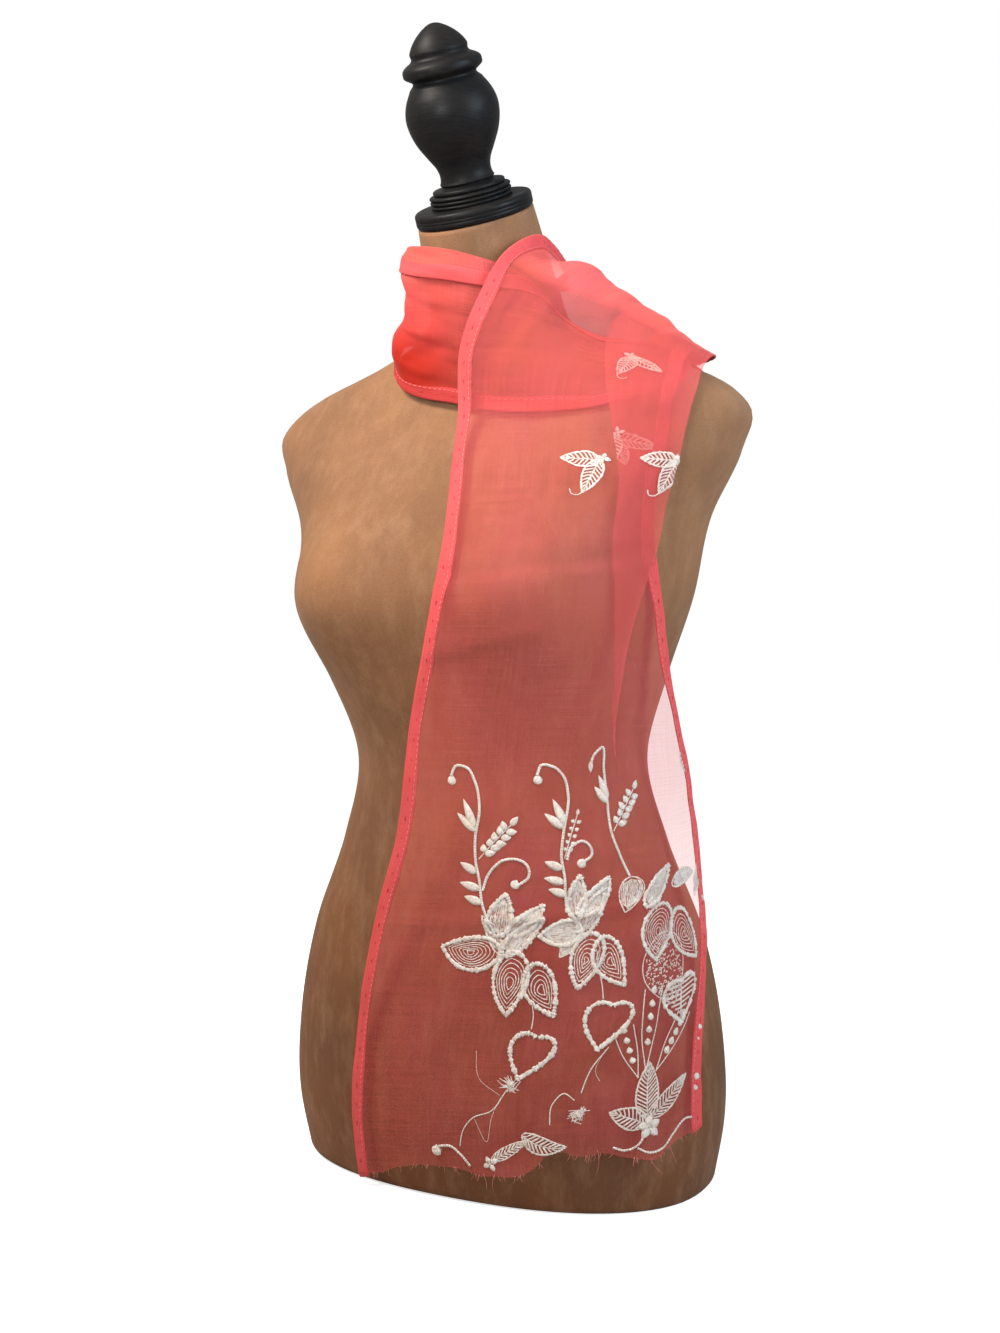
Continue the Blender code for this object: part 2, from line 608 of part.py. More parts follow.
def turned(name, profile, start):
    """A solid turned round the neck's axis from rows of (distance along, radius) in millimetres."""
    angle = np.linspace(0, 2 * math.pi, TURNED_SIDES, endpoint=False)
    rings = []
    for along, radius in profile:
        flat = np.full(TURNED_SIDES, along * MM)
        rings.append(np.stack([radius * MM * np.cos(angle), radius * MM * np.sin(angle), flat], axis=1))
    piece = add_rings(name, rings, WOOD)
    piece.rotation_euler = (NECK_TILT, 0, 0)
    piece.location = NECK_FOOT + start * NECK_AXIS


def arc(along, radius, across, tall, first, last, pieces):
    """Rows of a profile round part of an ellipse, from one angle to another in degrees."""
    rows = []
    for angle in np.radians(np.linspace(first, last, pieces + 1)):
        rows.append((along + tall * math.sin(angle), radius + across * math.cos(angle)))
    return rows


def cap_profile():
    """The plate on the neck and the three thin steps above it."""
    rows = [(0, PLATE_RADIUS - EDGE_ROUND)]
    for middle, first, last in ((EDGE_ROUND, -PLATE_UNDERCUT, 0), (PLATE_THICK - EDGE_ROUND, 0, 90)):
        rows += arc(middle, PLATE_RADIUS - EDGE_ROUND, EDGE_ROUND, EDGE_ROUND, first, last, PLATE_ARC)
    for step in range(STEPS):
        bottom = PLATE_THICK + step * STEP_TALL
        rows.append((bottom, STEP_RADIUS - STEP_GROOVE))
        middle, inner = bottom + STEP_TALL / 2, STEP_RADIUS - STEP_GROOVE
        rows += arc(middle, inner, STEP_GROOVE, STEP_BULGE, -STEP_TURN, STEP_TURN, STEP_ARC)
    return rows + [(CAP_TALL, STEP_RADIUS - STEP_GROOVE)]


def main():
    for thing in list(bpy.data.objects):
        bpy.data.objects.remove(thing, do_unlink=True)
    add_form()
    turned("neck_cap", cap_profile(), NECK_LENGTH + PIECE_GAP)
    outline = [(along, float(FINIAL.at("radius", along))) for along in FINIAL_ROWS]
    turned("finial", outline, NECK_LENGTH + CAP_TALL * MM + 2 * PIECE_GAP)
    add_scarf()


main()
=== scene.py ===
"""The looks of a chiffon scarf wound once round the neck of a limbless dress form.

The scarf is one strip of sheer cloth, so it is one mesh here, laid along the same winding as the solids that
it replaces. A place on it is a run, the distance along the strip from its frayed end, and a cloth distance
across it from the hem that starts as the tail's left one. Hems, stitches, embroidery and loose threads are
laid on the cloth by those two numbers.

Sizes are metres and +Z is up. The form faces -Y. A turn is an angle in degrees round the form, 0 at the
front and 90 at the form's left side (+X). A gap is a distance out from the form's surface.
"""

import math

import bpy
import numpy as np
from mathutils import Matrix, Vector


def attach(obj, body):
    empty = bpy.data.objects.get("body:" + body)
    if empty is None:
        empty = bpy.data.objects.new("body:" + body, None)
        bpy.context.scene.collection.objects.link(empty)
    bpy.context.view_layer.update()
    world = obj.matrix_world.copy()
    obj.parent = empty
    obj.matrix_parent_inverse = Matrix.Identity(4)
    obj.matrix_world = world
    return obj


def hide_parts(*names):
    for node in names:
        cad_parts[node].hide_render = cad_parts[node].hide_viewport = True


# The camera: degrees round from the front, and metres.
CAMERA_TURN, CAMERA_PITCH, CAMERA_ROLL = 29.0, -1.24, 0.32
CAMERA_DISTANCE, CAMERA_HEIGHT, CAMERA_ASIDE, CAMERA_LENS = 1.185, 0.404, -0.002, 41.86
SENSOR_WIDTH = 36  # in millimetres, as the lens is
FLOOR_SIZE = 30.0
FLOOR_BOUNCE, FLOOR_SEEN, FLOOR_GLOW = (0.60, 0.56, 0.53), (0.9, 0.9, 0.9), 0.68
WORLD_LIGHT = 0.38
LIGHTS = (
    ("key", (-0.42, -0.78, 1.42), (0, -0.05, 0.45), 0.5, 160, 19.5, (1.0, 0.93, 0.83)),
    ("front", (0.10, -1.50, 0.72), (0, -0.02, 0.66), 0.4, 40, 0.9, (0.94, 0.97, 1.0)),
    ("fill", (1.50, -0.20, 0.95), (0, 0, 0.55), 0.9, 90, 8.0, (0.72, 0.87, 1.0)),
)

# The turned wood, in millimetres.
PIECE_GAP = 0.0003
TURNED_SIDES = 96
PLATE_RADIUS, PLATE_THICK, EDGE_ROUND = 44.0, 11.5, 3.0
PLATE_LINES = (4.4, 6.6)
LINE_REACH = 0.35  # how deep, and how far either way, each fine line is cut round the plate
PLATE_UNDERCUT = 70  # degrees of rounding under the plate's edge
STEPS, STEP_TALL, STEP_RADIUS, STEP_GROOVE = 3, 3.0, 30.5, 1.8
STEP_BULGE, STEP_TURN = 0.45 * STEP_TALL, 80  # half a step's rounded part, and its degrees
CAP_TALL = PLATE_THICK + STEPS * STEP_TALL
SHARP_ANGLE = math.radians(50)  # an edge of the turned wood bent by more than this stays sharp

# The form's mesh.
FORM_SIDES, BASE_RINGS, TORSO_RINGS, NECK_RINGS = 160, 6, 120, 36
TORSO_TOP = 0.607
NECK_START, NECK_TURNED = 0.012, 0.6  # the rings turn to the neck's tilt over this share of it

# Colours, as linear red, green and blue, and how much one layer of cloth hides.
CORAL, PINK, THREAD_SHINE = (0.57, 0.087, 0.066), (0.56, 0.084, 0.094), (0.80, 0.16, 0.14)
# The cloth's colour under painted shade, where it lies under its turned-over top edge.
PAINTED_SHADE_RED = (0.34, 0.018, 0.010)
HEM_PINK, HEM_CORAL = (0.63, 0.076, 0.088), (0.65, 0.082, 0.078)
SHEER_COVER, HEM_COVER = 0.42, 0.80
THREAD_VARIES, CLOUD_VARIES = 0.07, 0.05  # how much the cover differs by thread, and by patch, as shares
LAYERS_SEEN = 32  # the most sheer surfaces that a line of sight passes through
# Lit and shaded copies of the suede: painted shade darkens it from the chest down towards the hips.
SUEDE_LIT_HIGH, SUEDE_SHADED_LOW = (0.30, 0.148, 0.071), (0.16, 0.057, 0.020)
SUEDE_DARK, SUEDE_LIGHT = (0.085, 0.045, 0.030), (0.36, 0.20, 0.115)
CREAM, IVORY = (0.82, 0.70, 0.59), (0.88, 0.81, 0.75)
THREAD_SHADOW = (0.50, 0.33, 0.26)
STITCH_PINK, TACK_PINK = (0.72, 0.22, 0.20), (0.50, 0.030, 0.060)
WAVE_PERIOD = 2 * math.pi / 20  # of a wave texture at scale 1
WEAVE_PITCH, SATIN_PITCH = 0.0005, 0.0005
BLACK_DEEP, BLACK_WORN, BLACK_PATCH = (0.006, 0.006, 0.007), (0.012, 0.011, 0.010), (0.016, 0.013, 0.011)

# Hems and their stitches: the distance of each line of stitches in from the edge, its pitch, and the length
# and radius of a stitch.
HEM_POINTS, HEM_THICK = 7, 0.0011
HEM_OVERHANG, HEM_MARGIN = 0.0005, 0.0002  # past the cloth's edge, and beside its flat part
HEM_SLOW_WAVE, HEM_QUICK_WAVE = 0.0007, 0.0004  # how far the hem's width varies
PUCKER = 0.22  # how far the stitches pull the hem's thickness, as a share
STITCH_PITCH = 0.0042
STITCH_INWARD, STITCH_LENGTH, STITCH_RADIUS = 0.0086, 0.0026, 0.00022
TACK_INWARD, TACK_PITCH, TACK_LENGTH, TACK_RADIUS = 0.0048, 0.014, 0.0034, 0.0003
STITCHED_FROM, STITCHED_SHORT = 0.012, 0.010  # where stitching starts, and how far it stops short of the end

# Threads: radii and pitches in millimetres, and how far a thread's middle stands off the cloth, as a share.
SATIN, STEM, FINE, LOOSE = 1.5, 0.95, 0.32, 0.15
ROPE_STEP, ROPE_PITCH, ECHO_PITCH, ALONG_PITCH, BAR_PITCH = 0.55, 2.1, 1.75, 0.95, 3.1
SEEDS = 300
THREAD_SINK = 0.6
EDGE_POINTS = 1.25  # along a petal's edge, for each millimetre
FRAYED_THREADS, FRAYED_SIDES = 80, (0.004, 0.274)  # how many, and between which cloth distances, in metres
FRAYED_LENGTHS, FRAYED_RADIUS, FRAYED_LIFT = (0.001, 0.005), 0.00010, 0.0003
# The small motifs up the cloth: where each one's leaves meet, and which way it points.
SCATTERED = (
    (107 + 546j, 3.73),
    (161 + 546j, 3.73),
    (213 + 569j, -1.00),
    (222 + 660j, 4.44),
)
# The buds along the second hem: where each one is, and its size.
EDGE_BUDS = (
    (274 + 92j, 4.5),
    (273 + 82j, 3.5),
    (274 + 49j, 6.0),
    (273 + 40j, 4.5),
    (272 + 200j, 5.0),
    (270 + 214j, 4.0),
)

# The figure that the form is padded to.
SHOULDER_TOP = 0.635
ROUNDNESS = 2.25  # 2 is an ellipse, and more is squarer
BUST_LIFT, BUST_SIDE, BUST_HEIGHT = 0.020, 0.075, 0.430
BUST_WIDE, BUST_TALL = 0.048, 0.052
NECK_TILT = math.radians(26)  # forward from upright
NECK_FOOT = np.array([0.0, 0.012, 0.610])
NECK_LENGTH = 0.1127
NECK_RADIUS_LOW, NECK_RADIUS_HIGH = 0.054, 0.0435
NECK_BLEND = 0.022  # how softly the neck runs into the shoulders
NECK_AXIS = np.array([0, -math.sin(NECK_TILT), math.cos(NECK_TILT)])
NECK_SINK = 0.02  # how far the neck runs down inside the shoulders
LEAN_RISE = 0.03  # the height over which the figure's middle moves from the torso's to the neck's
BASE_ROUNDING = 0.006
SLOPE_STEP = 0.001
AXIS_CLEAR = 1e-9  # keeps a point on the axis from having no direction
CHEST_TURN = 1.6  # how quickly the bust comes in towards the front
FARTHEST, HALVINGS = 0.35, 24  # how the figure's surface is found along a direction

# The scarf.
HEM_WIDTH = 0.010
LAYER_CLEARANCE = 0.009  # of the outer turn's top layer over the inner turn
LIFT_ROUNDS, LIFT_REACH, LIFT_DEPTH = 3, 0.015, 0.030
STRIP_EASING, OUTER_EASING = 2, 3  # rounds of easing over the whole strip, and over its outer turn
OUTER_PASSES = 2  # how often the outer turn is lifted clear and eased
FORM_CLEARANCE = 0.002  # the nearest that the gathered cloth comes to the figure
SECTION_POINTS = 25
EDGE_TO_EDGE = SECTION_POINTS - 1


class Table:
    """Rows of named columns, read as smooth curves along the first column."""

    def __init__(self, names, rows):
        self.names = names.split()
        self.rows = np.array(rows, float)

    def column(self, name):
        return self.rows[:, self.names.index(name)]

    def at(self, name, place):
        xs, ys = self.rows[:, 0], self.column(name)
        steps = np.diff(xs)
        slopes = np.diff(ys) / steps
        tangents = np.empty(len(xs))
        tangents[0], tangents[-1] = slopes[0], slopes[-1]
        tangents[1:-1] = (slopes[:-1] * steps[1:] + slopes[1:] * steps[:-1]) / (steps[1:] + steps[:-1])
        place = np.clip(place, xs[0], xs[-1])
        k = np.clip(np.searchsorted(xs, place) - 1, 0, len(xs) - 2)
        u = (place - xs[k]) / steps[k]
        start = (2 * u**3 - 3 * u**2 + 1) * ys[k] + (u**3 - 2 * u**2 + u) * steps[k] * tangents[k]
        end = (3 * u**2 - 2 * u**3) * ys[k + 1] + (u**3 - u**2) * steps[k] * tangents[k + 1]
        return start + end


# The finial's outline above the cap: foot, stem, bulb, bead ring and rounded top.
FINIAL = Table(
    "along radius",
    [
        (0, 26.2),
        (0.7, 27.0),
        (2.3, 27.0),
        (3.1, 26.2),
        (3.5, 23.0),
        (6.5, 20.4),
        (12, 19.0),
        (18, 20.2),
        (26, 24.6),
        (36, 30.0),
        (48, 33.6),
        (56, 34.0),
        (66, 31.2),
        (74, 26.6),
        (79, 23.8),
        (80.2, 25.6),
        (82, 28.2),
        (85, 29.0),
        (88.4, 28.0),
        (90.6, 25.2),
        (92, 22.4),
        (98, 21.0),
        (104, 17.4),
        (109, 12.4),
        (112.6, 7.2),
        (114.6, 2.6),
        (114.9, 1.2),
    ],
)
FIGURE = Table(
    "height half_width front back",
    [
        (0.000, 0.163, 0.097, 0.106),
        (0.050, 0.171, 0.108, 0.118),
        (0.110, 0.168, 0.111, 0.123),
        (0.180, 0.154, 0.104, 0.115),
        (0.250, 0.127, 0.093, 0.094),
        (0.310, 0.113, 0.092, 0.078),
        (0.370, 0.129, 0.112, 0.081),
        (0.430, 0.150, 0.130, 0.091),
        (0.490, 0.164, 0.112, 0.100),
        (0.535, 0.188, 0.087, 0.098),
        (0.565, 0.195, 0.066, 0.084),
        (0.590, 0.162, 0.052, 0.067),
        (0.610, 0.103, 0.046, 0.056),
        (0.635, 0.050, 0.040, 0.046),
    ],
)
HIP_ROW, BUST_ROW = 2, 7
BRIDGED = {"half_width": 0.6, "front": 0.85, "back": 0.8}  # how far cloth hangs clear of the waist

# One row for each section across the scarf, from the frayed end of the front tail to the end down the
# back. The hem columns place its left hem, which becomes the top of the neck band, and the edge columns
# its other edge or, where the pleat hides that, the pleat's outer fold.
WINDING = Table(
    "run hem_turn hem_height hem_gap edge_turn edge_height edge_gap",
    [
        (0.000, -33, 0.005, 0.009, 80, 0.056, 0.006),
        (0.060, -30, 0.067, 0.009, 81, 0.105, 0.006),
        (0.115, -27, 0.121, 0.008, 85, 0.145, 0.006),
        (0.165, -22, 0.168, 0.008, 90, 0.185, 0.006),
        (0.215, -16, 0.215, 0.008, 95, 0.225, 0.006),
        (0.265, -8, 0.260, 0.008, 99, 0.265, 0.006),
        (0.310, -4, 0.305, 0.008, 98, 0.306, 0.006),
        (0.350, -1, 0.345, 0.008, 90, 0.343, 0.006),
        (0.390, 5, 0.385, 0.008, 80, 0.383, 0.006),
        (0.430, 9, 0.422, 0.008, 75, 0.422, 0.007),
        (0.470, 12, 0.455, 0.008, 70, 0.458, 0.009),
        (0.520, 11, 0.500, 0.008, 71, 0.500, 0.010),
        (0.570, 9, 0.540, 0.009, 73, 0.538, 0.010),
        (0.610, 9, 0.580, 0.012, 75, 0.562, 0.012),
        (0.650, 12, 0.615, 0.015, 78, 0.578, 0.013),
        (0.680, 18, 0.639, 0.016, 80, 0.588, 0.013),
        (0.705, 27, 0.659, 0.015, 83, 0.595, 0.012),
        (0.725, 34, 0.669, 0.014, 86, 0.598, 0.012),
        (0.745, 42, 0.678, 0.013, 89, 0.600, 0.012),
        (0.765, 61, 0.688, 0.012, 93, 0.600, 0.012),
        (0.785, 76, 0.694, 0.011, 98, 0.600, 0.012),
        (0.810, 92, 0.695, 0.010, 106, 0.597, 0.012),
        (0.840, 110, 0.687, 0.010, 119, 0.590, 0.012),
        (0.880, 135, 0.677, 0.010, 138, 0.582, 0.012),
        (0.920, 160, 0.676, 0.010, 160, 0.577, 0.012),
        (0.960, 185, 0.679, 0.010, 182, 0.576, 0.011),
        (1.000, 212, 0.683, 0.010, 207, 0.580, 0.012),
        (1.035, 238, 0.687, 0.010, 232, 0.602, 0.012),
        (1.060, 256, 0.688, 0.010, 252, 0.622, 0.010),
        (1.085, 272, 0.689, 0.010, 270, 0.629, 0.007),
        (1.110, 288, 0.690, 0.010, 286, 0.625, 0.005),
        (1.140, 304, 0.689, 0.010, 301, 0.608, 0.006),
        (1.165, 322, 0.687, 0.010, 314, 0.588, 0.008),
        (1.190, 342, 0.683, 0.009, 335, 0.576, 0.007),
        (1.215, 360, 0.679, 0.009, 358, 0.571, 0.006),
        (1.240, 377, 0.674, 0.008, 376, 0.564, 0.006),
        (1.265, 392, 0.669, 0.007, 395, 0.559, 0.005),
        (1.290, 408, 0.664, 0.006, 410, 0.558, 0.005),
        (1.315, 424, 0.653, 0.006, 420, 0.560, 0.005),
        (1.340, 430, 0.635, 0.006, 429, 0.566, 0.005),
        (1.365, 433, 0.616, 0.006, 436, 0.573, 0.005),
        (1.390, 441, 0.610, 0.006, 441, 0.585, 0.004),
        (1.415, 455, 0.609, 0.006, 449, 0.598, 0.004),
        (1.440, 476, 0.603, 0.006, 462, 0.594, 0.004),
        (1.470, 500, 0.588, 0.006, 479, 0.572, 0.005),
        (1.510, 526, 0.560, 0.006, 493, 0.530, 0.005),
        (1.560, 548, 0.512, 0.006, 504, 0.480, 0.005),
        (1.620, 563, 0.450, 0.006, 511, 0.420, 0.005),
        (1.690, 571, 0.378, 0.006, 515, 0.350, 0.005),
        (1.760, 575, 0.305, 0.006, 517, 0.285, 0.005),
    ],
)
# The pleat's outer fold, its inner crease and the cloth's hidden edge, as shares of the section.
PLEAT = Table(
    "run fold crease under",
    [
        (0.000, 0.63, 0.63, 1.00),
        (0.270, 0.63, 0.63, 1.00),
        (0.310, 0.63, 0.63, 1.00),
        (0.350, 0.67, 0.655, 1.00),
        (0.390, 0.76, 0.71, 1.00),
        (0.430, 0.86, 0.74, 1.00),
        (0.470, 0.98, 0.76, 0.98),
        (0.520, 1.00, 0.76, 0.94),
        (0.570, 1.00, 0.70, 0.93),
        (0.650, 1.00, 0.59, 0.92),
        (0.750, 1.00, 0.58, 0.92),
        (0.820, 0.96, 0.67, 0.94),
        (0.880, 0.88, 0.76, 0.95),
        (0.930, 0.84, 0.74, 0.97),
        (1.060, 0.79, 0.73, 0.98),
        (1.130, 0.75, 0.75, 1.00),
        (1.200, 0.75, 0.75, 1.00),
    ],
)
# Soft ridges and troughs: where each is centred, as a run and a share of the section, its half length
# along the run, its half width as a share, and how far it rises in metres.
FOLDS = Table(
    "run share length width rise",
    [
        (0.000, 0.16, 0.150, 0.07, 0.003),
        (0.010, 0.47, 0.110, 0.09, 0.004),
        (0.020, 0.83, 0.130, 0.07, 0.003),
        (0.560, 0.35, 0.120, 0.16, 0.003),
        (0.795, 0.12, 0.055, 0.09, -0.016),
        (0.860, 0.60, 0.070, 0.14, 0.004),
        (0.990, 0.35, 0.080, 0.12, 0.003),
        (1.140, 0.56, 0.050, 0.15, -0.009),
        (1.150, 0.95, 0.050, 0.14, -0.005),
        (1.160, 0.74, 0.045, 0.14, 0.004),
        (1.220, 0.45, 0.060, 0.10, 0.003),
        (1.280, 0.70, 0.060, 0.12, 0.002),
        (1.600, 0.22, 0.140, 0.09, 0.005),
        (1.650, 0.52, 0.120, 0.10, 0.006),
        (1.700, 0.80, 0.160, 0.08, 0.005),
    ],
)
# How far the top edge is turned over outwards, in metres. Below 0 it lies open.
FLAP = Table(
    "run depth",
    [
        (1.000, -0.006),
        (1.040, 0.002),
        (1.070, 0.009),
        (1.110, 0.012),
        (1.150, 0.019),
        (1.240, 0.022),
        (1.320, 0.016),
        (1.415, 0.010),
        (1.450, 0.002),
        (1.480, -0.006),
    ],
)
WRAP_END, BACK_END = 1.060, 1.760
OUTER_END, INNER_START = 1.000, 1.150  # the runs that lie over others, and those that lie under
RUNS = np.linspace(0, BACK_END, 177)
# The finer cloth of the scene.
LAYER_RADIUS = 0.0011  # of the pleat's turned edges
FLAP_RADIUS = 0.0016
PATH_STEPS = 1200
TABLE_STEP = 0.004  # between the runs at which the cloth's path is worked out
COLUMNS = 131
TURN_CLOSENESS = 9  # how many times closer the columns lie at a turned edge
FINE_ROWS = ((0.0, 0.60, 0.005), (0.60, 1.46, 0.003), (1.46, 1.76, 0.005))
END_TRIM = 0.060  # the runs over which the frayed end's waves fade out
MM = 0.001
TINY = 1e-12  # keeps a division from failing
SECTION_RUN = 0.25  # a section's width as a run, for directions across the strip
GATHER_LIFT, GATHER_SECOND = 0.85, 0.35  # shares of a gather's depth: its outward shift and its finer wave
SMALL_RISE, FINE_RISE, FRAY_RISE = 0.0005, 0.0003, 0.0007  # small unevenness in the cloth and its cut end

# Creases and ridges: from one run and share to another, half width across as a share, and
# how far each rises. A press crease runs straight across the cloth where it was folded away.
CREASES = Table(
    "run share end_run end_share width rise",
    [
        (0.455, 0.05, 0.470, 0.95, 0.020, -0.0022),
        (0.395, 0.02, 0.420, 0.60, 0.018, 0.0016),
        (0.195, 0.02, 0.215, 0.98, 0.016, 0.0016),
        (0.560, 0.55, 0.400, 0.42, 0.045, 0.0018),
        (0.600, 0.38, 0.480, 0.25, 0.040, -0.0014),
        (0.640, 0.62, 0.520, 0.60, 0.030, 0.0016),
        (0.300, 0.70, 0.120, 0.74, 0.050, 0.0020),
        (0.240, 0.30, 0.060, 0.22, 0.060, 0.0014),
        (0.180, 0.52, 0.020, 0.50, 0.050, -0.0016),
        (0.700, 0.30, 0.620, 0.20, 0.050, 0.0020),
        (0.690, 0.55, 0.790, 0.50, 0.045, 0.0026),
        (0.700, 0.75, 0.800, 0.78, 0.035, -0.0018),
        (0.760, 0.25, 0.900, 0.35, 0.060, 0.0028),
        (0.840, 0.62, 0.980, 0.70, 0.060, 0.0026),
        (0.900, 0.15, 1.040, 0.20, 0.050, 0.0020),
        (1.120, 0.30, 1.190, 0.42, 0.060, -0.0028),
        (1.130, 0.52, 1.230, 0.60, 0.050, 0.0024),
        (1.180, 0.80, 1.300, 0.86, 0.045, 0.0018),
        (1.200, 0.34, 1.330, 0.40, 0.055, 0.0026),
        (1.250, 0.62, 1.380, 0.55, 0.050, -0.0022),
        (1.190, 0.28, 1.205, 0.62, 0.060, -0.0045),
        (1.205, 0.62, 1.180, 0.80, 0.050, -0.0035),
        (1.165, 0.40, 1.175, 0.95, 0.060, 0.0030),
        (1.235, 0.30, 1.225, 0.90, 0.060, 0.0028),
    ],
)
# How far up the cut end lies, across the cloth.
RAW_EDGE = Table(
    "across rise",
    [
        (0.000, 0.001),
        (0.030, 0.006),
        (0.060, 0.011),
        (0.085, 0.008),
        (0.122, 0.003),
        (0.148, 0.006),
        (0.164, 0.020),
        (0.178, 0.014),
        (0.200, 0.013),
        (0.220, 0.005),
        (0.235, 0.001),
        (0.248, 0.006),
        (0.280, 0.004),
    ],
)
# Folds that run along the strip where it is gathered: how many across, how deep, and how many layers thick
# its finer folds make it.
GATHERS = Table(
    "run count depth lean layers",
    [
        (0.000, 2.2, 0.0000, 0.0, 0.75),
        (0.150, 2.2, 0.0000, 0.0, 0.85),
        (0.300, 2.2, 0.0000, 0.0, 1.0),
        (0.600, 2.2, 0.0000, 0.0, 1.0),
        (0.700, 2.4, 0.0004, 0.1, 1.1),
        (0.725, 2.5, 0.0007, 0.1, 1.6),
        (0.743, 2.5, 0.0009, 0.1, 3.6),
        (0.765, 2.6, 0.0010, 0.2, 5.0),
        (0.820, 2.9, 0.0022, 0.2, 4.8),
        (0.900, 3.9, 0.0036, 0.3, 3.4),
        (0.960, 4.6, 0.0042, 0.3, 3.0),
        (1.050, 4.4, 0.0034, 0.2, 3.2),
        (1.110, 3.4, 0.0014, 0.1, 5.2),
        (1.165, 2.4, 0.0008, 0.0, 6.5),
        (1.195, 2.5, 0.0009, 0.1, 4.0),
        (1.220, 2.5, 0.0010, 0.1, 2.2),
        (1.250, 2.5, 0.0010, 0.1, 1.6),
        (1.300, 2.6, 0.0010, 0.2, 1.4),
        (1.380, 4.2, 0.0010, 0.3, 2.0),
        (1.440, 4.6, 0.0024, 0.3, 1.8),
        (1.480, 4.5, 0.0055, 0.3, 1.5),
        (1.530, 4.4, 0.0125, 0.2, 1.2),
        (1.620, 4.2, 0.0145, 0.0, 1.1),
        (1.760, 4.0, 0.0150, 0.1, 1.0),
    ],
)
# How much painted shade deepens the cloth's colour where it lies under itself, and the cloth distances over
# which that shade comes in from the turned-over top edge.
SHADED = Table(
    "run depth",
    [
        (1.000, 0.00),
        (1.060, 0.60),
        (1.110, 0.95),
        (1.190, 1.00),
        (1.230, 0.70),
        (1.280, 0.55),
        (1.340, 0.35),
        (1.420, 0.20),
        (1.500, 0.00),
    ],
)
SHADE_START, SHADE_FULL = 0.030, 0.105
HEM_SHADE = 0.6  # of that, on the hems


def bridged(figure):
    """The figure as hanging cloth meets it: straighter from hip to bust than the waist is."""
    rows = figure.rows.copy()
    low, high = rows[HIP_ROW], rows[BUST_ROW]
    for name, share in BRIDGED.items():
        k = figure.names.index(name)
        for row in rows[HIP_ROW + 1 : BUST_ROW]:
            straight = np.interp(row[0], (low[0], high[0]), (low[k], high[k]))
            row[k] += share * max(0.0, straight - row[k])
    return Table(" ".join(figure.names), rows)


HANGING = bridged(FIGURE)


def torso_radius(across, back, height, figure):
    """The torso's radius at a height, in the level direction (across, back)."""
    half_width = figure.at("half_width", height)
    depth = np.where(back < 0, figure.at("front", height), figure.at("back", height))
    wide, deep = np.abs(across / half_width) ** ROUNDNESS, np.abs(back / depth) ** ROUNDNESS
    radius = (wide + deep) ** (-1 / ROUNDNESS)
    side = (np.abs(radius * across) - BUST_SIDE) / BUST_WIDE
    level = (height - BUST_HEIGHT) / BUST_TALL
    return radius + BUST_LIFT * np.exp(-(side**2) - level**2) * np.clip(-CHEST_TURN * back, 0, 1)


def figure_distance(points, figure):
    """How far points lie outside the figure, nearly, and negative inside it."""
    height = np.clip(points[..., 2], 0, SHOULDER_TOP)
    level = np.hypot(points[..., 0], points[..., 1]) + AXIS_CLEAR
    across, back = points[..., 0] / level, points[..., 1] / level
    above = torso_radius(across, back, np.clip(height + SLOPE_STEP, 0, SHOULDER_TOP), figure)
    below = torso_radius(across, back, np.clip(height - SLOPE_STEP, 0, SHOULDER_TOP), figure)
    slope = (above - below) / (2 * SLOPE_STEP)
    torso = (level - torso_radius(across, back, height, figure)) / np.sqrt(1 + slope**2)
    torso = torso + 2 * np.maximum(points[..., 2] - SHOULDER_TOP, 0)
    offset = points - NECK_FOOT
    along = offset @ NECK_AXIS
    away = np.linalg.norm(offset - along[..., None] * NECK_AXIS, axis=-1)
    radius = np.interp(along, (0, NECK_LENGTH), (NECK_RADIUS_LOW, NECK_RADIUS_HIGH))
    neck = np.maximum(away - radius, -along - NECK_SINK)
    share = np.clip(0.5 + 0.5 * (neck - torso) / NECK_BLEND, 0, 1)
    return neck * (1 - share) + torso * share - NECK_BLEND * share * (1 - share)


def centre_line(height):
    """The figure's middle at a height: upright through the torso, then forward along the neck."""
    rise = np.maximum(np.asarray(height, float) - NECK_FOOT[2], 0)
    lean = np.clip(rise / LEAN_RISE, 0, 1)
    y = lean * NECK_FOOT[1] - rise * math.tan(NECK_TILT)
    return np.stack([np.zeros_like(rise), y, np.asarray(height, float)], axis=-1)


def level_direction(turn):
    angle = np.radians(turn)
    return np.stack([np.sin(angle), -np.cos(angle), np.zeros_like(angle)], axis=-1)


def reach(start, direction, gap, figure):
    """How far along each direction the figure's surface lies at a gap, by halving."""
    near = np.zeros(start.shape[:-1])
    far = near + FARTHEST
    for _ in range(HALVINGS):
        middle = (near + far) / 2
        inside = figure_distance(start + middle[..., None] * direction, figure) < gap
        near, far = np.where(inside, middle, near), np.where(inside, far, middle)
    return near


def laid(turn, height, gap):
    """The point at a turn and height that lies a gap out from the hanging figure."""
    start = centre_line(height)
    direction = level_direction(turn)
    return start + reach(start, direction, gap, HANGING)[..., None] * direction


def evenly(line, count):
    """A line's points moved to equal steps along it."""
    steps = np.linalg.norm(np.diff(line, axis=0), axis=1)
    walked = np.concatenate([[0], np.cumsum(steps)])
    places = np.linspace(0, walked[-1], count)
    return np.stack([np.interp(places, walked, line[:, k]) for k in range(3)], axis=1)


def section_line(run):
    """The scarf's section at a run: straight from hem to edge, or laid on the figure where that is inside."""
    ends = [
        laid(*(np.array(WINDING.at(f"{side}_{what}", run)) for what in ("turn", "height", "gap")))
        for side in ("hem", "edge")
    ]
    share = np.linspace(0, 1, 3 * SECTION_POINTS)[:, None]
    line = ends[0] * (1 - share) + ends[1] * share
    gap = WINDING.at("hem_gap", run) * (1 - share[:, 0]) + WINDING.at("edge_gap", run) * share[:, 0]
    start = centre_line(line[:, 2])
    outward = line - start
    straight = np.linalg.norm(outward, axis=1)
    direction = outward / straight[:, None]
    radius = np.maximum(straight, reach(start, direction, gap, HANGING))
    return evenly(start + radius[:, None] * direction, SECTION_POINTS)


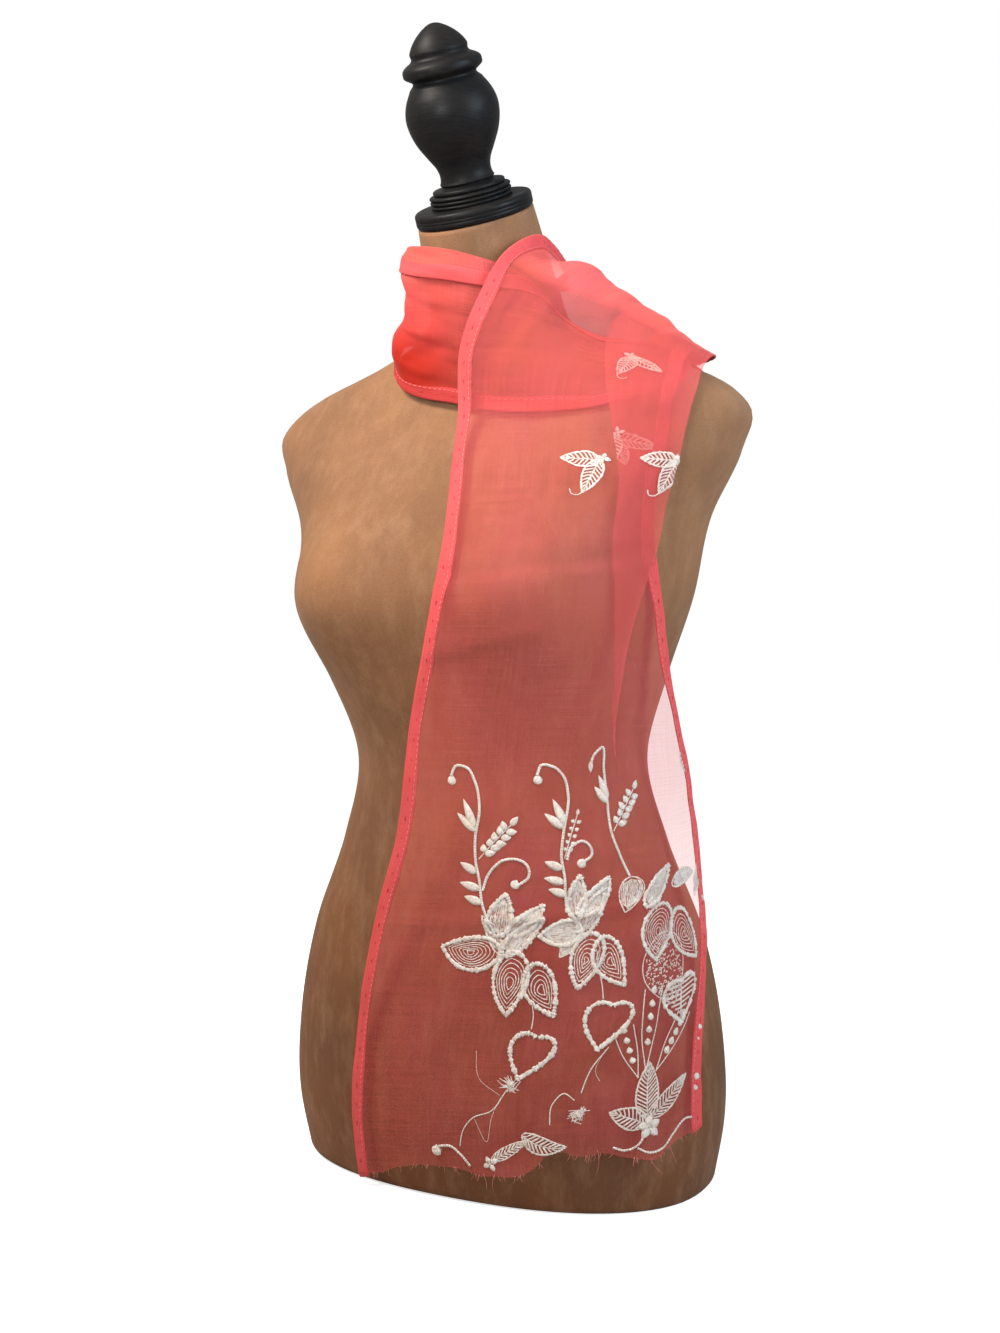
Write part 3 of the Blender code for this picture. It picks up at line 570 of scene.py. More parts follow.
def normals_of(grid):
    """Unit normals of a grid of points, pointing out of the figure."""
    along, across = np.gradient(grid, axis=0), np.gradient(grid, axis=1)
    normals = np.cross(across, along)
    normals /= np.linalg.norm(normals, axis=-1, keepdims=True) + TINY
    outward = grid - centre_line(grid[..., 2])
    return normals * np.sign(np.sum(normals * outward))


def softened(grid, rounds):
    """A grid with its inner points eased towards their neighbours, and its long edges along themselves."""
    grid = grid.copy()
    for _ in range(rounds):
        beside = (grid[:-2, 1:-1] + grid[2:, 1:-1] + grid[1:-1, :-2] + grid[1:-1, 2:]) / 4
        edges = (grid[:-2, ::EDGE_TO_EDGE] + grid[2:, ::EDGE_TO_EDGE]) / 2
        grid[1:-1, 1:-1] = (grid[1:-1, 1:-1] + beside) / 2
        grid[1:-1, ::EDGE_TO_EDGE] = (grid[1:-1, ::EDGE_TO_EDGE] + edges) / 2
    return grid


def lifted(grid, under, clearance):
    """A grid moved out where it comes nearer than a clearance to the layer under it."""
    points = under.reshape(-1, 3)
    normals = normals_of(under).reshape(-1, 3)
    flat = grid.reshape(-1, 3)
    for _ in range(LIFT_ROUNDS):
        apart = np.linalg.norm(flat[:, None] - points[None], axis=2)
        nearest = apart.argmin(axis=1)
        above = np.sum((flat - points[nearest]) * normals[nearest], axis=1)
        beside = np.sqrt(np.maximum(apart.min(axis=1) ** 2 - above**2, 0))
        push = np.where((beside < LIFT_REACH) & (above > -LIFT_DEPTH), clearance - above, 0)
        flat = flat + np.maximum(push, 0)[:, None] * normals[nearest]
    return flat.reshape(grid.shape)


def ridges():
    """How far FOLDS raise each point of the scarf's grid."""
    share = np.linspace(0, 1, SECTION_POINTS)
    rise = np.zeros((len(RUNS), SECTION_POINTS))
    for run, middle, length, width, height in FOLDS.rows:
        along = np.exp(-(((RUNS - run) / length) ** 2))
        rise += height * along[:, None] * np.exp(-(((share - middle) / width) ** 2))
    return rise


def strip_grid():
    """The whole scarf's middle surface, a row of points for each of RUNS, its outer turn over its inner."""
    grid = softened(np.array([section_line(run) for run in RUNS]), STRIP_EASING)
    grid += ridges()[..., None] * normals_of(grid)
    outer, inner = RUNS < OUTER_END, RUNS > INNER_START
    for _ in range(OUTER_PASSES):
        grid[outer] = lifted(grid[outer], grid[inner], LAYER_CLEARANCE)
        grid[RUNS < WRAP_END] = softened(grid[RUNS < WRAP_END], OUTER_EASING)
    return grid


def eased(place):
    """0 up to -1, 1 from 1 on, and smooth between."""
    place = np.clip(place, -1, 1)
    return 0.5 + 0.75 * place - 0.25 * place**3


def weights(place):
    """The four shares, and their slopes, of a smooth curve through equally spaced points."""
    u = place
    shares = (
        -0.5 * u + u**2 - 0.5 * u**3,
        1 - 2.5 * u**2 + 1.5 * u**3,
        0.5 * u + 2 * u**2 - 1.5 * u**3,
        0.5 * (u**3 - u**2),
    )
    slopes = (-0.5 + 2 * u - 1.5 * u**2, -5 * u + 4.5 * u**2, 0.5 + 4 * u - 4.5 * u**2, 1.5 * u**2 - u)
    return np.stack(shares), np.stack(slopes)


def spread(grid, row, column):
    """Points on the smooth surface through a grid, and its slopes along and across, at fractional places."""
    padded = np.concatenate([2 * grid[:1] - grid[1:2], grid, 2 * grid[-1:] - grid[-2:-1]])
    before, after = 2 * padded[:, :1] - padded[:, 1:2], 2 * padded[:, -1:] - padded[:, -2:-1]
    padded = np.concatenate([before, padded, after], axis=1)
    i = np.clip(row.astype(int), 0, len(grid) - 2)
    j = np.clip(column.astype(int), 0, grid.shape[1] - 2)
    row_shares, row_slopes = weights(row - i)
    column_shares, column_slopes = weights(column - j)
    point, along, across = (np.zeros(row.shape + (3,)) for _ in range(3))
    for a in range(4):
        for b in range(4):
            near = padded[i + a, j + b]
            point += (row_shares[a] * column_shares[b])[..., None] * near
            along += (row_slopes[a] * column_shares[b])[..., None] * near
            across += (row_shares[a] * column_slopes[b])[..., None] * near
    return point, along, across


def unit(vectors):
    return vectors / (np.linalg.norm(vectors, axis=-1, keepdims=True) + TINY)


def ripples(run, share):
    """How far creases, gathers and small unevenness raise the cloth."""
    rise = np.zeros(np.broadcast(run, share).shape)
    for start, first, stop, last, width, height in CREASES.rows:
        along, across = (stop - start) / SECTION_RUN, last - first
        ahead, aside = (run - start) / SECTION_RUN, share - first
        place = np.clip((ahead * along + aside * across) / math.hypot(along, across) ** 2, 0, 1)
        away = np.hypot(ahead - place * along, aside - place * across)
        fading = np.sin(math.pi * np.clip(0.1 + 0.8 * place, 0, 1)) ** 0.6
        rise += height * fading * np.exp(-((away / width) ** 2))
    count, depth, lean = (GATHERS.at(name, run) for name in ("count", "depth", "lean"))
    turn = 2 * math.pi * (count * share + lean + 0.35 * np.sin(9 * run) + 0.10 * np.sin(41 * run + 5 * share))
    rise += depth * (GATHER_LIFT + np.sin(turn) + GATHER_SECOND * np.sin(1.7 * turn + 11 * run))
    small = np.sin(61 * run + 9 * share + 1.3) * np.sin(23 * share - 17 * run + 0.4)
    fine = np.sin(139 * run - 31 * share) * np.sin(47 * share + 53 * run)
    return rise + SMALL_RISE * small + FINE_RISE * fine


class Cloth:
    """The scarf's surface, read at any run and distance across the cloth."""

    def __init__(self):
        self.grid = strip_grid()
        runs = np.arange(0, BACK_END + TABLE_STEP, TABLE_STEP)
        rows = np.minimum(runs / RUNS[1], len(RUNS) - 1)
        columns = np.linspace(0, EDGE_TO_EDGE, 4 * SECTION_POINTS)
        lines = spread(self.grid, *np.meshgrid(rows, columns, indexing="ij"))[0]
        self.lengths = np.linalg.norm(np.diff(lines, axis=1), axis=2).sum(axis=1)
        self.ends, self.turns, self.paths = [], [], []
        for run, length in zip(runs, self.lengths):
            self.add_path(min(run, BACK_END), length)
        self.ends, self.turns, self.paths = np.array(self.ends), np.array(self.turns), np.array(self.paths)
        middles = np.meshgrid(np.arange(0, len(RUNS), 8.0), np.array([EDGE_TO_EDGE / 2]), indexing="ij")
        crowns = spread(self.grid, *middles)
        outward = crowns[0] - centre_line(crowns[0][..., 2])
        self.facing = np.sign(np.sum(np.cross(crowns[2], crowns[1]) * outward))

    def add_path(self, run, length):
        """Works out how the cloth runs across one section, folded on itself."""
        fold, crease, under = (float(PLEAT.at(name, run)) * length for name in ("fold", "crease", "under"))
        fold = max(fold, crease)
        flap = float(FLAP.at("depth", run))
        turns = (flap, max(flap, 0) + fold, max(flap, 0) + 2 * fold - crease)
        end = turns[2] + under - crease
        cloth = np.linspace(0, end, PATH_STEPS)
        pleat = eased((cloth - turns[1]) / LAYER_RADIUS) - eased((cloth - turns[2]) / LAYER_RADIUS)
        heading = math.pi * (1 - eased((cloth - flap) / FLAP_RADIUS) + pleat)
        step = cloth[1]
        along = np.concatenate([[0], np.cumsum((np.cos(heading[1:]) + np.cos(heading[:-1])) / 2 * step)])
        over = -np.concatenate([[0], np.cumsum((np.sin(heading[1:]) + np.sin(heading[:-1])) / 2 * step)])
        along -= np.interp(max(flap, 0), cloth, along)
        over -= np.interp(max(flap + FLAP_RADIUS, 0), cloth, over)
        self.ends.append(end)
        self.turns.append(turns)
        self.paths.append((along, over, heading))

    def end(self, run):
        """The cloth's width at a run."""
        return np.interp(run, np.arange(len(self.ends)) * TABLE_STEP, self.ends)

    def place(self, run, cloth, lift=0.0):
        """Points at runs and cloth distances, lifted off the cloth's face, and the directions there.

        The directions are out of the face, along the run and across the cloth.
        """
        run, cloth = np.broadcast_arrays(np.asarray(run, float), np.asarray(cloth, float))
        row = np.clip(run, 0, BACK_END) / TABLE_STEP
        k = np.minimum(row.astype(int), len(self.ends) - 2)
        share = row - k
        within = np.clip(cloth, 0, self.end(run))
        along, over, heading, length = 0, 0, 0, 0
        for side, weight in ((k, 1 - share), (k + 1, share)):
            step = np.clip(within / self.ends[side], 0, 1) * (PATH_STEPS - 1)
            j = np.minimum(step.astype(int), PATH_STEPS - 2)
            near, far = self.paths[side, :, j], self.paths[side, :, j + 1]
            value = near + (far - near) * (step - j)[..., None]
            along, over, heading = (
                total + value[..., n] * weight for n, total in enumerate((along, over, heading))
            )
            length = length + self.lengths[side] * weight
        across_share = along / length
        grid_row = np.clip(run / RUNS[1], 0, len(RUNS) - 1)
        point, ahead, across = spread(self.grid, grid_row, across_share * EDGE_TO_EDGE)
        up = unit(np.cross(across, ahead)) * self.facing
        across = unit(across)
        over = over + ripples(run, across_share)
        face = up * np.cos(heading)[..., None] + across * np.sin(heading)[..., None]
        side = across * np.cos(heading)[..., None] - up * np.sin(heading)[..., None]
        point = point + up * over[..., None]
        short = np.maximum(FORM_CLEARANCE - figure_distance(point, FIGURE), 0)
        point = point + unit(point - centre_line(point[..., 2])) * short[..., None]
        point = point + face * np.asarray(lift)[..., None] + side * (cloth - within)[..., None]
        return point, face, unit(ahead), side

    def columns(self, run):
        """The cloth distances of the mesh's columns at a run, closer together at the turned edges."""
        end = float(self.end(run))
        turns = [np.interp(run, np.arange(len(self.ends)) * TABLE_STEP, self.turns[:, n]) for n in range(3)]
        cloth = np.linspace(0, end, PATH_STEPS)
        closeness = np.ones_like(cloth)
        for turn in turns:
            closeness += TURN_CLOSENESS * np.exp(-(((cloth - turn) / (2 * LAYER_RADIUS)) ** 2))
        walked = np.concatenate([[0], np.cumsum((closeness[1:] + closeness[:-1]) / 2)])
        return np.interp(np.linspace(0, walked[-1], COLUMNS), walked, cloth)


def frayed_edge(cloth):
    """How far up the cut end lies at each distance across the cloth."""
    return np.maximum(RAW_EDGE.at("rise", cloth) + FRAY_RISE * np.sin(190 * cloth) * np.sin(47 * cloth), 0.0)


def fine_runs():
    """The runs of the mesh's rows, closer together round the neck."""
    parts = [np.arange(start, stop - step / 2, step) for start, stop, step in FINE_ROWS]
    return np.concatenate(parts + [[BACK_END]])


def mesh_object(name, points, faces, looks, uv=None, **attributes):
    """A smooth mesh piece in the form's frame, riding with it. uv gives each vertex its place on the cloth,
    and attributes are other values for each vertex."""
    mesh = bpy.data.meshes.new(name)
    mesh.from_pydata(np.asarray(points).reshape(-1, 3).tolist(), [], faces)
    for attribute, values in attributes.items():
        mesh.attributes.new(attribute, "FLOAT", "POINT").data.foreach_set("value", values.ravel())
    if uv is not None:
        layer = mesh.uv_layers.new(name="cloth")
        corners = np.empty(len(mesh.loops), dtype=np.int32)
        mesh.loops.foreach_get("vertex_index", corners)
        layer.data.foreach_set("uv", np.asarray(uv).reshape(-1, 2)[corners].ravel())
    mesh.shade_smooth()
    mesh.materials.append(looks)
    piece = bpy.data.objects.new(name, mesh)
    bpy.context.scene.collection.objects.link(piece)
    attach(piece, "root")
    return piece


def grid_faces(rows, columns, closed=False):
    """Faces of a grid of points, joined round on itself across where it is closed."""
    spots = np.arange(rows * columns).reshape(rows, columns)
    if closed:
        spots = np.concatenate([spots, spots[:, :1]], axis=1)
    corners = [spots[:-1, :-1], spots[:-1, 1:], spots[1:, 1:], spots[1:, :-1]]
    return np.stack(corners, axis=-1).reshape(-1, 4).tolist()


def tube_faces(rows, columns):
    """Faces of a closed tube of rings, its two ends shut."""
    last = (rows - 1) * columns
    ends = [list(range(columns)), [last + k for k in reversed(range(columns))]]
    return [face[::-1] for face in grid_faces(rows, columns, closed=True)] + ends


def shade(run, across):
    """How much painted shade deepens the cloth's colour at runs and cloth distances."""
    return SHADED.at("depth", run) * np.clip((across - SHADE_START) / (SHADE_FULL - SHADE_START), 0, 1)


def add_panel(cloth, looks):
    """The whole strip of cloth."""
    runs = fine_runs()
    columns = np.array([cloth.columns(run) for run in runs])
    rows = np.repeat(runs[:, None], COLUMNS, axis=1)
    trimmed = rows + frayed_edge(columns) * np.clip(1 - rows / END_TRIM, 0, 1)
    points = cloth.place(trimmed, columns)[0]
    uv = np.stack([trimmed, columns], axis=-1)
    gaps = (1 - SHEER_COVER) ** GATHERS.at("layers", rows)
    shaded = shade(rows, columns)
    return mesh_object("scarf_panel", points, grid_faces(*rows.shape), looks, uv, gaps=gaps, shaded=shaded)


def hem_section(width):
    """Places round a hem's flattened section: distances in from the cloth's edge, and lifts off its face."""
    inward = np.linspace(HEM_MARGIN, width - HEM_MARGIN, HEM_POINTS)
    top = np.full(HEM_POINTS, HEM_THICK / 2)
    return (
        np.concatenate([[-HEM_OVERHANG], inward, [width + HEM_MARGIN], inward[::-1]]),
        np.concatenate([[0.0], top, [0.0], -top]),
    )


def add_hem(name, cloth, from_edge, looks):
    """One long edge of the cloth folded over twice into a flat hem. from_edge turns a distance in from the
    edge into a cloth distance at a run."""
    runs = fine_runs()
    loops, places, shaded = [], [], []
    for run in runs:
        start = run + frayed_edge(from_edge(run, 0.0)) * max(0.0, 1 - run / END_TRIM)
        width = HEM_WIDTH + HEM_SLOW_WAVE * math.sin(31 * run) + HEM_QUICK_WAVE * math.sin(83 * run + 1)
        inward, lift = hem_section(width)
        pucker = 1 + PUCKER * np.sin(2 * math.pi * run / STITCH_PITCH + 240 * inward)
        loops.append(cloth.place(start, from_edge(run, inward), lift * pucker)[0])
        places.append(np.stack([np.full_like(inward, start), inward], axis=-1))
        shaded.append(HEM_SHADE * shade(run, from_edge(run, inward)))
    shaded = np.array(shaded)
    faces = tube_faces(len(runs), len(loops[0]))
    gaps = np.full_like(shaded, 1 - HEM_COVER)
    return mesh_object(name, np.array(loops), faces, looks, np.array(places), gaps=gaps, shaded=shaded)


def add_tubes(name, paths, radii, sides, looks, flatness=None, facing=None):
    """Many thin tubes in one piece. paths are arrays of points, and radii a number or an array for each.

    facing gives each path its directions out of the cloth, along which the tubes are flattened.
    """
    angle = np.linspace(0, 2 * math.pi, sides, endpoint=False)
    points, faces, places = [], [], []
    for n, path in enumerate(paths):
        ahead = unit(np.gradient(path, axis=0))
        up = facing[n] if facing is not None else np.broadcast_to([0.3, -0.9, 0.3], path.shape)
        side = unit(np.cross(ahead, up))
        up = np.cross(side, ahead)
        radius = np.broadcast_to(radii[n], (len(path),))[:, None, None]
        flat = 1.0 if flatness is None else flatness[n]
        ring = side[:, None] * np.cos(angle)[:, None] + flat * up[:, None] * np.sin(angle)[:, None]
        start = sum(len(p) for p in points)
        points.append((path[:, None] + radius * ring).reshape(-1, 3))
        faces += [[start + k for k in face] for face in tube_faces(len(path), sides)]
        walked = np.concatenate([[0], np.cumsum(np.linalg.norm(np.diff(path, axis=0), axis=1))])
        round_share = np.broadcast_to(angle / (2 * math.pi) * 0.01, (len(path), sides))
        along = np.repeat(walked[:, None], sides, axis=1)
        places.append(np.stack([along, round_share], axis=-1).reshape(-1, 2))
    return mesh_object(name, np.concatenate(points), faces, looks, np.concatenate(places))


def curve(through, step):
    """A smooth line through places, in short equal steps."""
    through = np.asarray(through, complex)
    walked = np.concatenate([[0], np.cumsum(abs(np.diff(through)))])
    table = Table("walked across up", np.stack([walked, through.real, through.imag], axis=1))
    places = np.linspace(0, walked[-1], int(walked[-1] / step) + 3)
    return table.at("across", places) + 1j * table.at("up", places)


def swell(share):
    """A petal's half width from its base at 0 to its tip at 1, as a share of its widest."""
    share = np.clip(share, 0, 1)
    return (share / 0.39) ** 0.6 * ((1 - share) / 0.61) ** 0.94


class Embroidery:
    """Stitching drawn on the flat cloth. A place is a complex number in millimetres: how far across from
    the first hem, and i times how far up from the frayed end."""

    def __init__(self, seed):
        self.random = np.random.default_rng(seed)
        self.lines = []

    def line(self, places, radius, uneven=0.14, flatness=0.45):
        """A line of thread, its thickness a little uneven."""
        jitter = self.random.standard_normal(len(places)).clip(-2, 2)
        self.lines.append((np.asarray(places), radius * (1 + uneven * jitter), flatness))

    def stem(self, *through, radius=STEM):
        """A stem in rope stitch through a few places."""
        places = curve(through, ROPE_STEP)
        twist = 1 + 0.24 * np.sin(2 * math.pi * np.arange(len(places)) * ROPE_STEP / ROPE_PITCH)
        self.lines.append((places, radius * twist, 0.7))

    def loose(self, *through):
        """A loose end of thread."""
        self.line(curve(through, 1.0), LOOSE)

    def drop(self, base, tip, width):
        """A solid drop of satin stitch, pointed at its tip."""
        share = (1 - np.cos(np.linspace(0, math.pi, 11))) / 2
        radius = np.maximum(width / 2 * swell(share), 0.08)
        self.lines.append((base + (tip - base) * share, radius, 0.32))

    def petal(self, base, tip, width, fill, bend=0.0, edge=SATIN):
        """A petal edged in satin stitch and filled with finer thread. bend bows it to one side."""
        length = abs(tip - base)
        ahead = (tip - base) / length

        def place(share, lane, inset=0.0):
            along = (0.5 + (share - 0.5) * (1 - inset)) * length
            aside = lane * (1 - inset) * width / 2 * swell(share) + 4 * bend * share * (1 - share)
            return base + ahead * (along + 1j * aside)

        there = (1 - np.cos(np.linspace(0, math.pi, int(length * EDGE_POINTS) + 8))) / 2
        share = np.concatenate([there, there[-2::-1]])
        lane = np.concatenate([np.ones(len(there)), -np.ones(len(there) - 1)])
        self.line(place(share, lane), edge, 0.28, 0.36)
        if fill == "echo":
            for inset in np.arange(2.6, 0.47 * width, ECHO_PITCH) / (0.5 * width):
                self.line(place(share[::2], lane[::2], inset) + self.wander(len(there)), FINE, 0.25)
        elif fill == "along":
            for lane in np.linspace(-0.84, 0.84, int(width / ALONG_PITCH)):
                stretch = np.linspace(0.06 + 0.1 * abs(lane), 0.93 - 0.2 * abs(lane), 16)
                self.line(place(stretch, lane) + self.wander(16), FINE, 0.25)
        elif fill == "bars":
            self.line(place(np.linspace(0, 0.97, 14), 0), 0.75 * edge)
            for share in np.arange(0.04, 0.80, BAR_PITCH / length):
                for side in (-0.92, 0.92):
                    self.line(place(np.linspace(share, share + 0.15, 5), np.linspace(0, side, 5)), 0.55)
        elif fill == "seeds":
            shares, lanes = self.random.uniform(0.08, 0.92, SEEDS), self.random.uniform(-0.9, 0.9, SEEDS)
            for share, lane in zip(shares, lanes):
                middle = place(share, lane)
                way = np.exp(1j * self.random.uniform(0, math.pi)) * 0.85
                self.line([middle - way, middle + 0.1j * way, middle + way], 0.36)

    def wander(self, count):
        """Small smooth strays from a line."""
        strays = self.random.standard_normal((2, count))
        strays = np.array([np.convolve(row, np.full(5, 0.2), mode="same") for row in strays])
        return 0.22 * (strays[0] + 1j * strays[1])

    def sprig_of_drops(self, base, tip, pairs, size):
        """A stem with drops standing off it on both sides and one at its tip."""
        self.stem(base, (base + tip) / 2 + 0.03j * (tip - base), tip, radius=0.4)
        ahead = (tip - base) / abs(tip - base)
        for n in range(pairs):
            start = base + (tip - base) * (0.12 + 0.80 * n / pairs)
            for side in (-1, 1):
                way = ahead * np.exp(1j * side * self.random.uniform(0.75, 1.05))
                stalk = start + (0.6 + 0.9 * (side > 0)) * ahead
                self.drop(stalk + 1.2 * way, stalk + size * self.random.uniform(0.9, 1.1) * way, 0.6 * size)
        self.drop(tip - 0.5 * ahead, tip + 0.8 * size * ahead, 0.55 * size)

    def blossom(self, middle, size, count, turn):
        """A small flower of solid drops round a knot."""
        for n in range(count):
            way = np.exp(1j * (turn + 2 * math.pi * n / count))
            self.drop(middle + 0.9 * way, middle + size * self.random.uniform(0.9, 1.1) * way, 0.62 * size)
        self.drop(middle - 1.2, middle + 1.2, 2.6)

    def bud(self, middle, size):
        """A round bud: a coil of satin stitch."""
        self.drop(middle - 0.55j * size, middle + 0.55j * size, size)
        self.drop(middle - 0.5 * size, middle + 0.5 * size, 0.9 * size)

    def tangle(self, middle, size, count):
        """A knot where threads cross and stick out."""
        for _ in range(count):
            way = np.exp(1j * self.random.uniform(0, 2 * math.pi)) * size * self.random.uniform(0.3, 1.0)
            bow = way * 1j * self.random.uniform(-0.4, 0.4)
            centre = middle + size * 0.3 * complex(*self.random.standard_normal(2).clip(-1.5, 1.5))
            self.line(curve((centre - way, centre + bow, centre + way), 1.0), 0.26)
        self.drop(middle - 0.35j * size, middle + 0.35j * size, 0.5 * size)

    def pod(self, base, tip, width, beads):
        """Two long edges opening from a base, with a row of beads between them."""
        ahead = (tip - base) / abs(tip - base)
        for side in (-0.5j, 0.5j):
            end = tip + side * width * ahead
            self.stem(base, (base + end) / 2 + 0.25 * side * width * ahead, end, radius=0.42)
        for share in np.linspace(0.36, 0.97, beads):
            middle = base + (tip - base) * share
            self.drop(middle - 3.1 * ahead, middle + 3.1 * ahead, 4.8)

    def heart(self, middle, size, turn, opening=0.0, bars=False):
        """A heart in satin stitch, open at its dip, or closed and barred like a leaf."""
        angle = np.linspace(opening, 2 * math.pi - opening, 150)
        across = 0.82 * size * np.sin(angle) ** 3
        up = size * (0.98 * np.cos(angle) - 0.28 * np.cos(2 * angle) - 0.11 * np.cos(3 * angle))
        shape = (across + 1j * up) * np.exp(1j * turn)
        self.line(middle + shape, SATIN, 0.28, 0.36)
        if bars:
            ahead = np.exp(1j * turn)
            self.line(middle + ahead * 1j * np.linspace(-0.95, 0.45, 20) * size, 0.8)
            for height in np.arange(-0.70, 0.62, 1.3 * BAR_PITCH / size):
                reach = size * 0.72 * math.sqrt(max(0.0, 1 - ((height - 0.28) / 1.15) ** 2))
                reach *= min(1.0, (height + 1.05) / 1.0)
                for side in (-1, 1):
                    rib = np.linspace(0, side * reach, 9) + 1j * size * (height + 0.05 * np.linspace(0, 1, 9))
                    self.line(middle + ahead * rib, 0.7)

    def scatter(self, middle, turn, size=1.0):
        """A small loose motif: two barred leaves, a flower of four drops and a curled tail."""
        ahead = np.exp(1j * turn) * size
        near, far = (middle + length * ahead * np.exp(angle) for length, angle in ((30, 0.62j), (26, -0.66j)))
        self.petal(middle, near, 13 * size, "bars", edge=0.7)
        self.petal(middle, far, 13 * size, "bars", edge=0.7)
        self.blossom(middle - 3 * ahead, 5.5 * size, 4, turn + 2.2)
        tail = (near + way * ahead for way in (-1, 4, 7 - 3j, 6 - 7j))
        self.stem(*tail, radius=0.4)


def stitch_first_spray(design):
    """The spray nearest the first hem: a curled stem with leaves and berries, a flower and a heart below."""
    curl = (36 + 311j, 39 + 318j, 47 + 317j, 54 + 307j)
    design.stem(*curl, 60 + 288j, 61 + 268j, 66 + 250j, 74 + 234j, 83 + 214j, 97 + 192j)
    design.bud(37 + 308j, 6.2)
    design.drop(60 + 272j, 44 + 285j, 6.0)
    design.drop(60 + 273j, 47 + 295j, 6.0)
    design.sprig_of_drops(68 + 251j, 84 + 277j, 5, 8.5)
    for base, tip in ((70 + 240j, 55 + 248j), (77 + 227j, 60 + 232j), (82 + 216j, 67 + 221j)):
        design.drop(base, tip, 6.2)
    design.stem(79 + 226j, 79 + 240j, 85 + 250j, 94 + 251j, 104 + 245j, 107 + 236j, 102 + 230j)
    design.bud(100 + 231j, 6.4)
    design.petal(101 + 190j, 96 + 223j, 17, "along", 1.5)
    design.petal(107 + 191j, 125 + 214j, 14, "along", -2.0)
    design.petal(108 + 175j, 128 + 204j, 15, "along", 1.0)
    design.petal(105 + 175j, 62 + 181j, 26, "echo", 1.5)
    design.petal(104 + 177j, 85 + 206j, 8, "along", -1.5, 0.6)
    design.petal(113 + 178j, 120 + 128j, 24, "echo", 1.0)
    design.petal(130 + 168j, 153 + 127j, 20, "echo", -1.5)
    design.stem(135 + 140j, 139 + 128j, 140 + 116j, radius=0.4)
    design.heart(142 + 97j, 19, -0.25, 0.42)
    design.tangle(132 + 73j, 7, 22)
    design.stem(130 + 68j, 120 + 52j, 107 + 47j, 99 + 37j, 96 + 25j, radius=0.4)
    design.loose(108 + 46j, 117 + 29j, 121 + 48j, 126 + 62j)
    design.loose(103 + 99j, 108 + 78j, 125 + 64j)
    design.bud(77 + 22j, 7.6)
    design.stem(79 + 25j, 88 + 25j, 96 + 19j, 103 + 10j)


def stitch_middle_spray(design):
    """The same spray again beside the first, with its flower turned and crowded."""
    curl = (96 + 312j, 98 + 319j, 106 + 318j, 114 + 311j)
    design.stem(*curl, 119 + 298j, 121 + 270j, 124 + 254j, 132 + 236j, 142 + 212j, 150 + 202j)
    design.bud(97 + 309j, 6.2)
    design.drop(120 + 274j, 105 + 285j, 6.0)
    design.drop(121 + 276j, 109 + 295j, 6.0)
    design.sprig_of_drops(127 + 251j, 128 + 284j, 5, 4.6)
    for base, tip in ((128 + 243j, 114 + 249j), (133 + 232j, 118 + 236j), (138 + 222j, 124 + 227j)):
        design.drop(base, tip, 6.0)
    design.stem(129 + 250j, 129 + 260j, 135 + 264j, 142 + 260j, 145 + 252j, 141 + 248j)
    design.bud(140 + 247j, 6.4)
    design.petal(151 + 203j, 142 + 237j, 12, "along", 1.0)
    design.petal(152 + 205j, 164 + 234j, 16, "along", -2.0)
    design.petal(158 + 190j, 163 + 226j, 14, "along", 1.0)
    design.petal(157 + 191j, 129 + 190j, 20, "along", -1.5)
    design.petal(154 + 189j, 147 + 173j, 10, "along", 0.5, 0.6)
    design.petal(164 + 191j, 165 + 148j, 22, "echo", 1.5)
    design.petal(172 + 187j, 197 + 148j, 19, "echo", -2.0)
    design.stem(178 + 158j, 182 + 148j, 185 + 138j, radius=0.4)
    design.heart(191 + 119j, 20, -0.12, 0.36)
    design.stem(196 + 98j, 187 + 82j, 182 + 62j, radius=0.4)
    design.loose(194 + 96j, 190 + 78j, 194 + 70j)
    design.tangle(181 + 46j, 7, 24)
    design.stem(178 + 57j, 170 + 63j, 163 + 55j, 162 + 40j, radius=0.4)
    design.petal(143 + 33j, 173 + 22j, 13, "bars", -4.0, 0.6)
    design.petal(120 + 15j, 147 + 29j, 8, "bars", 0.0, 0.4)
    design.blossom(119 + 13j, 6.5, 4, 0.5)


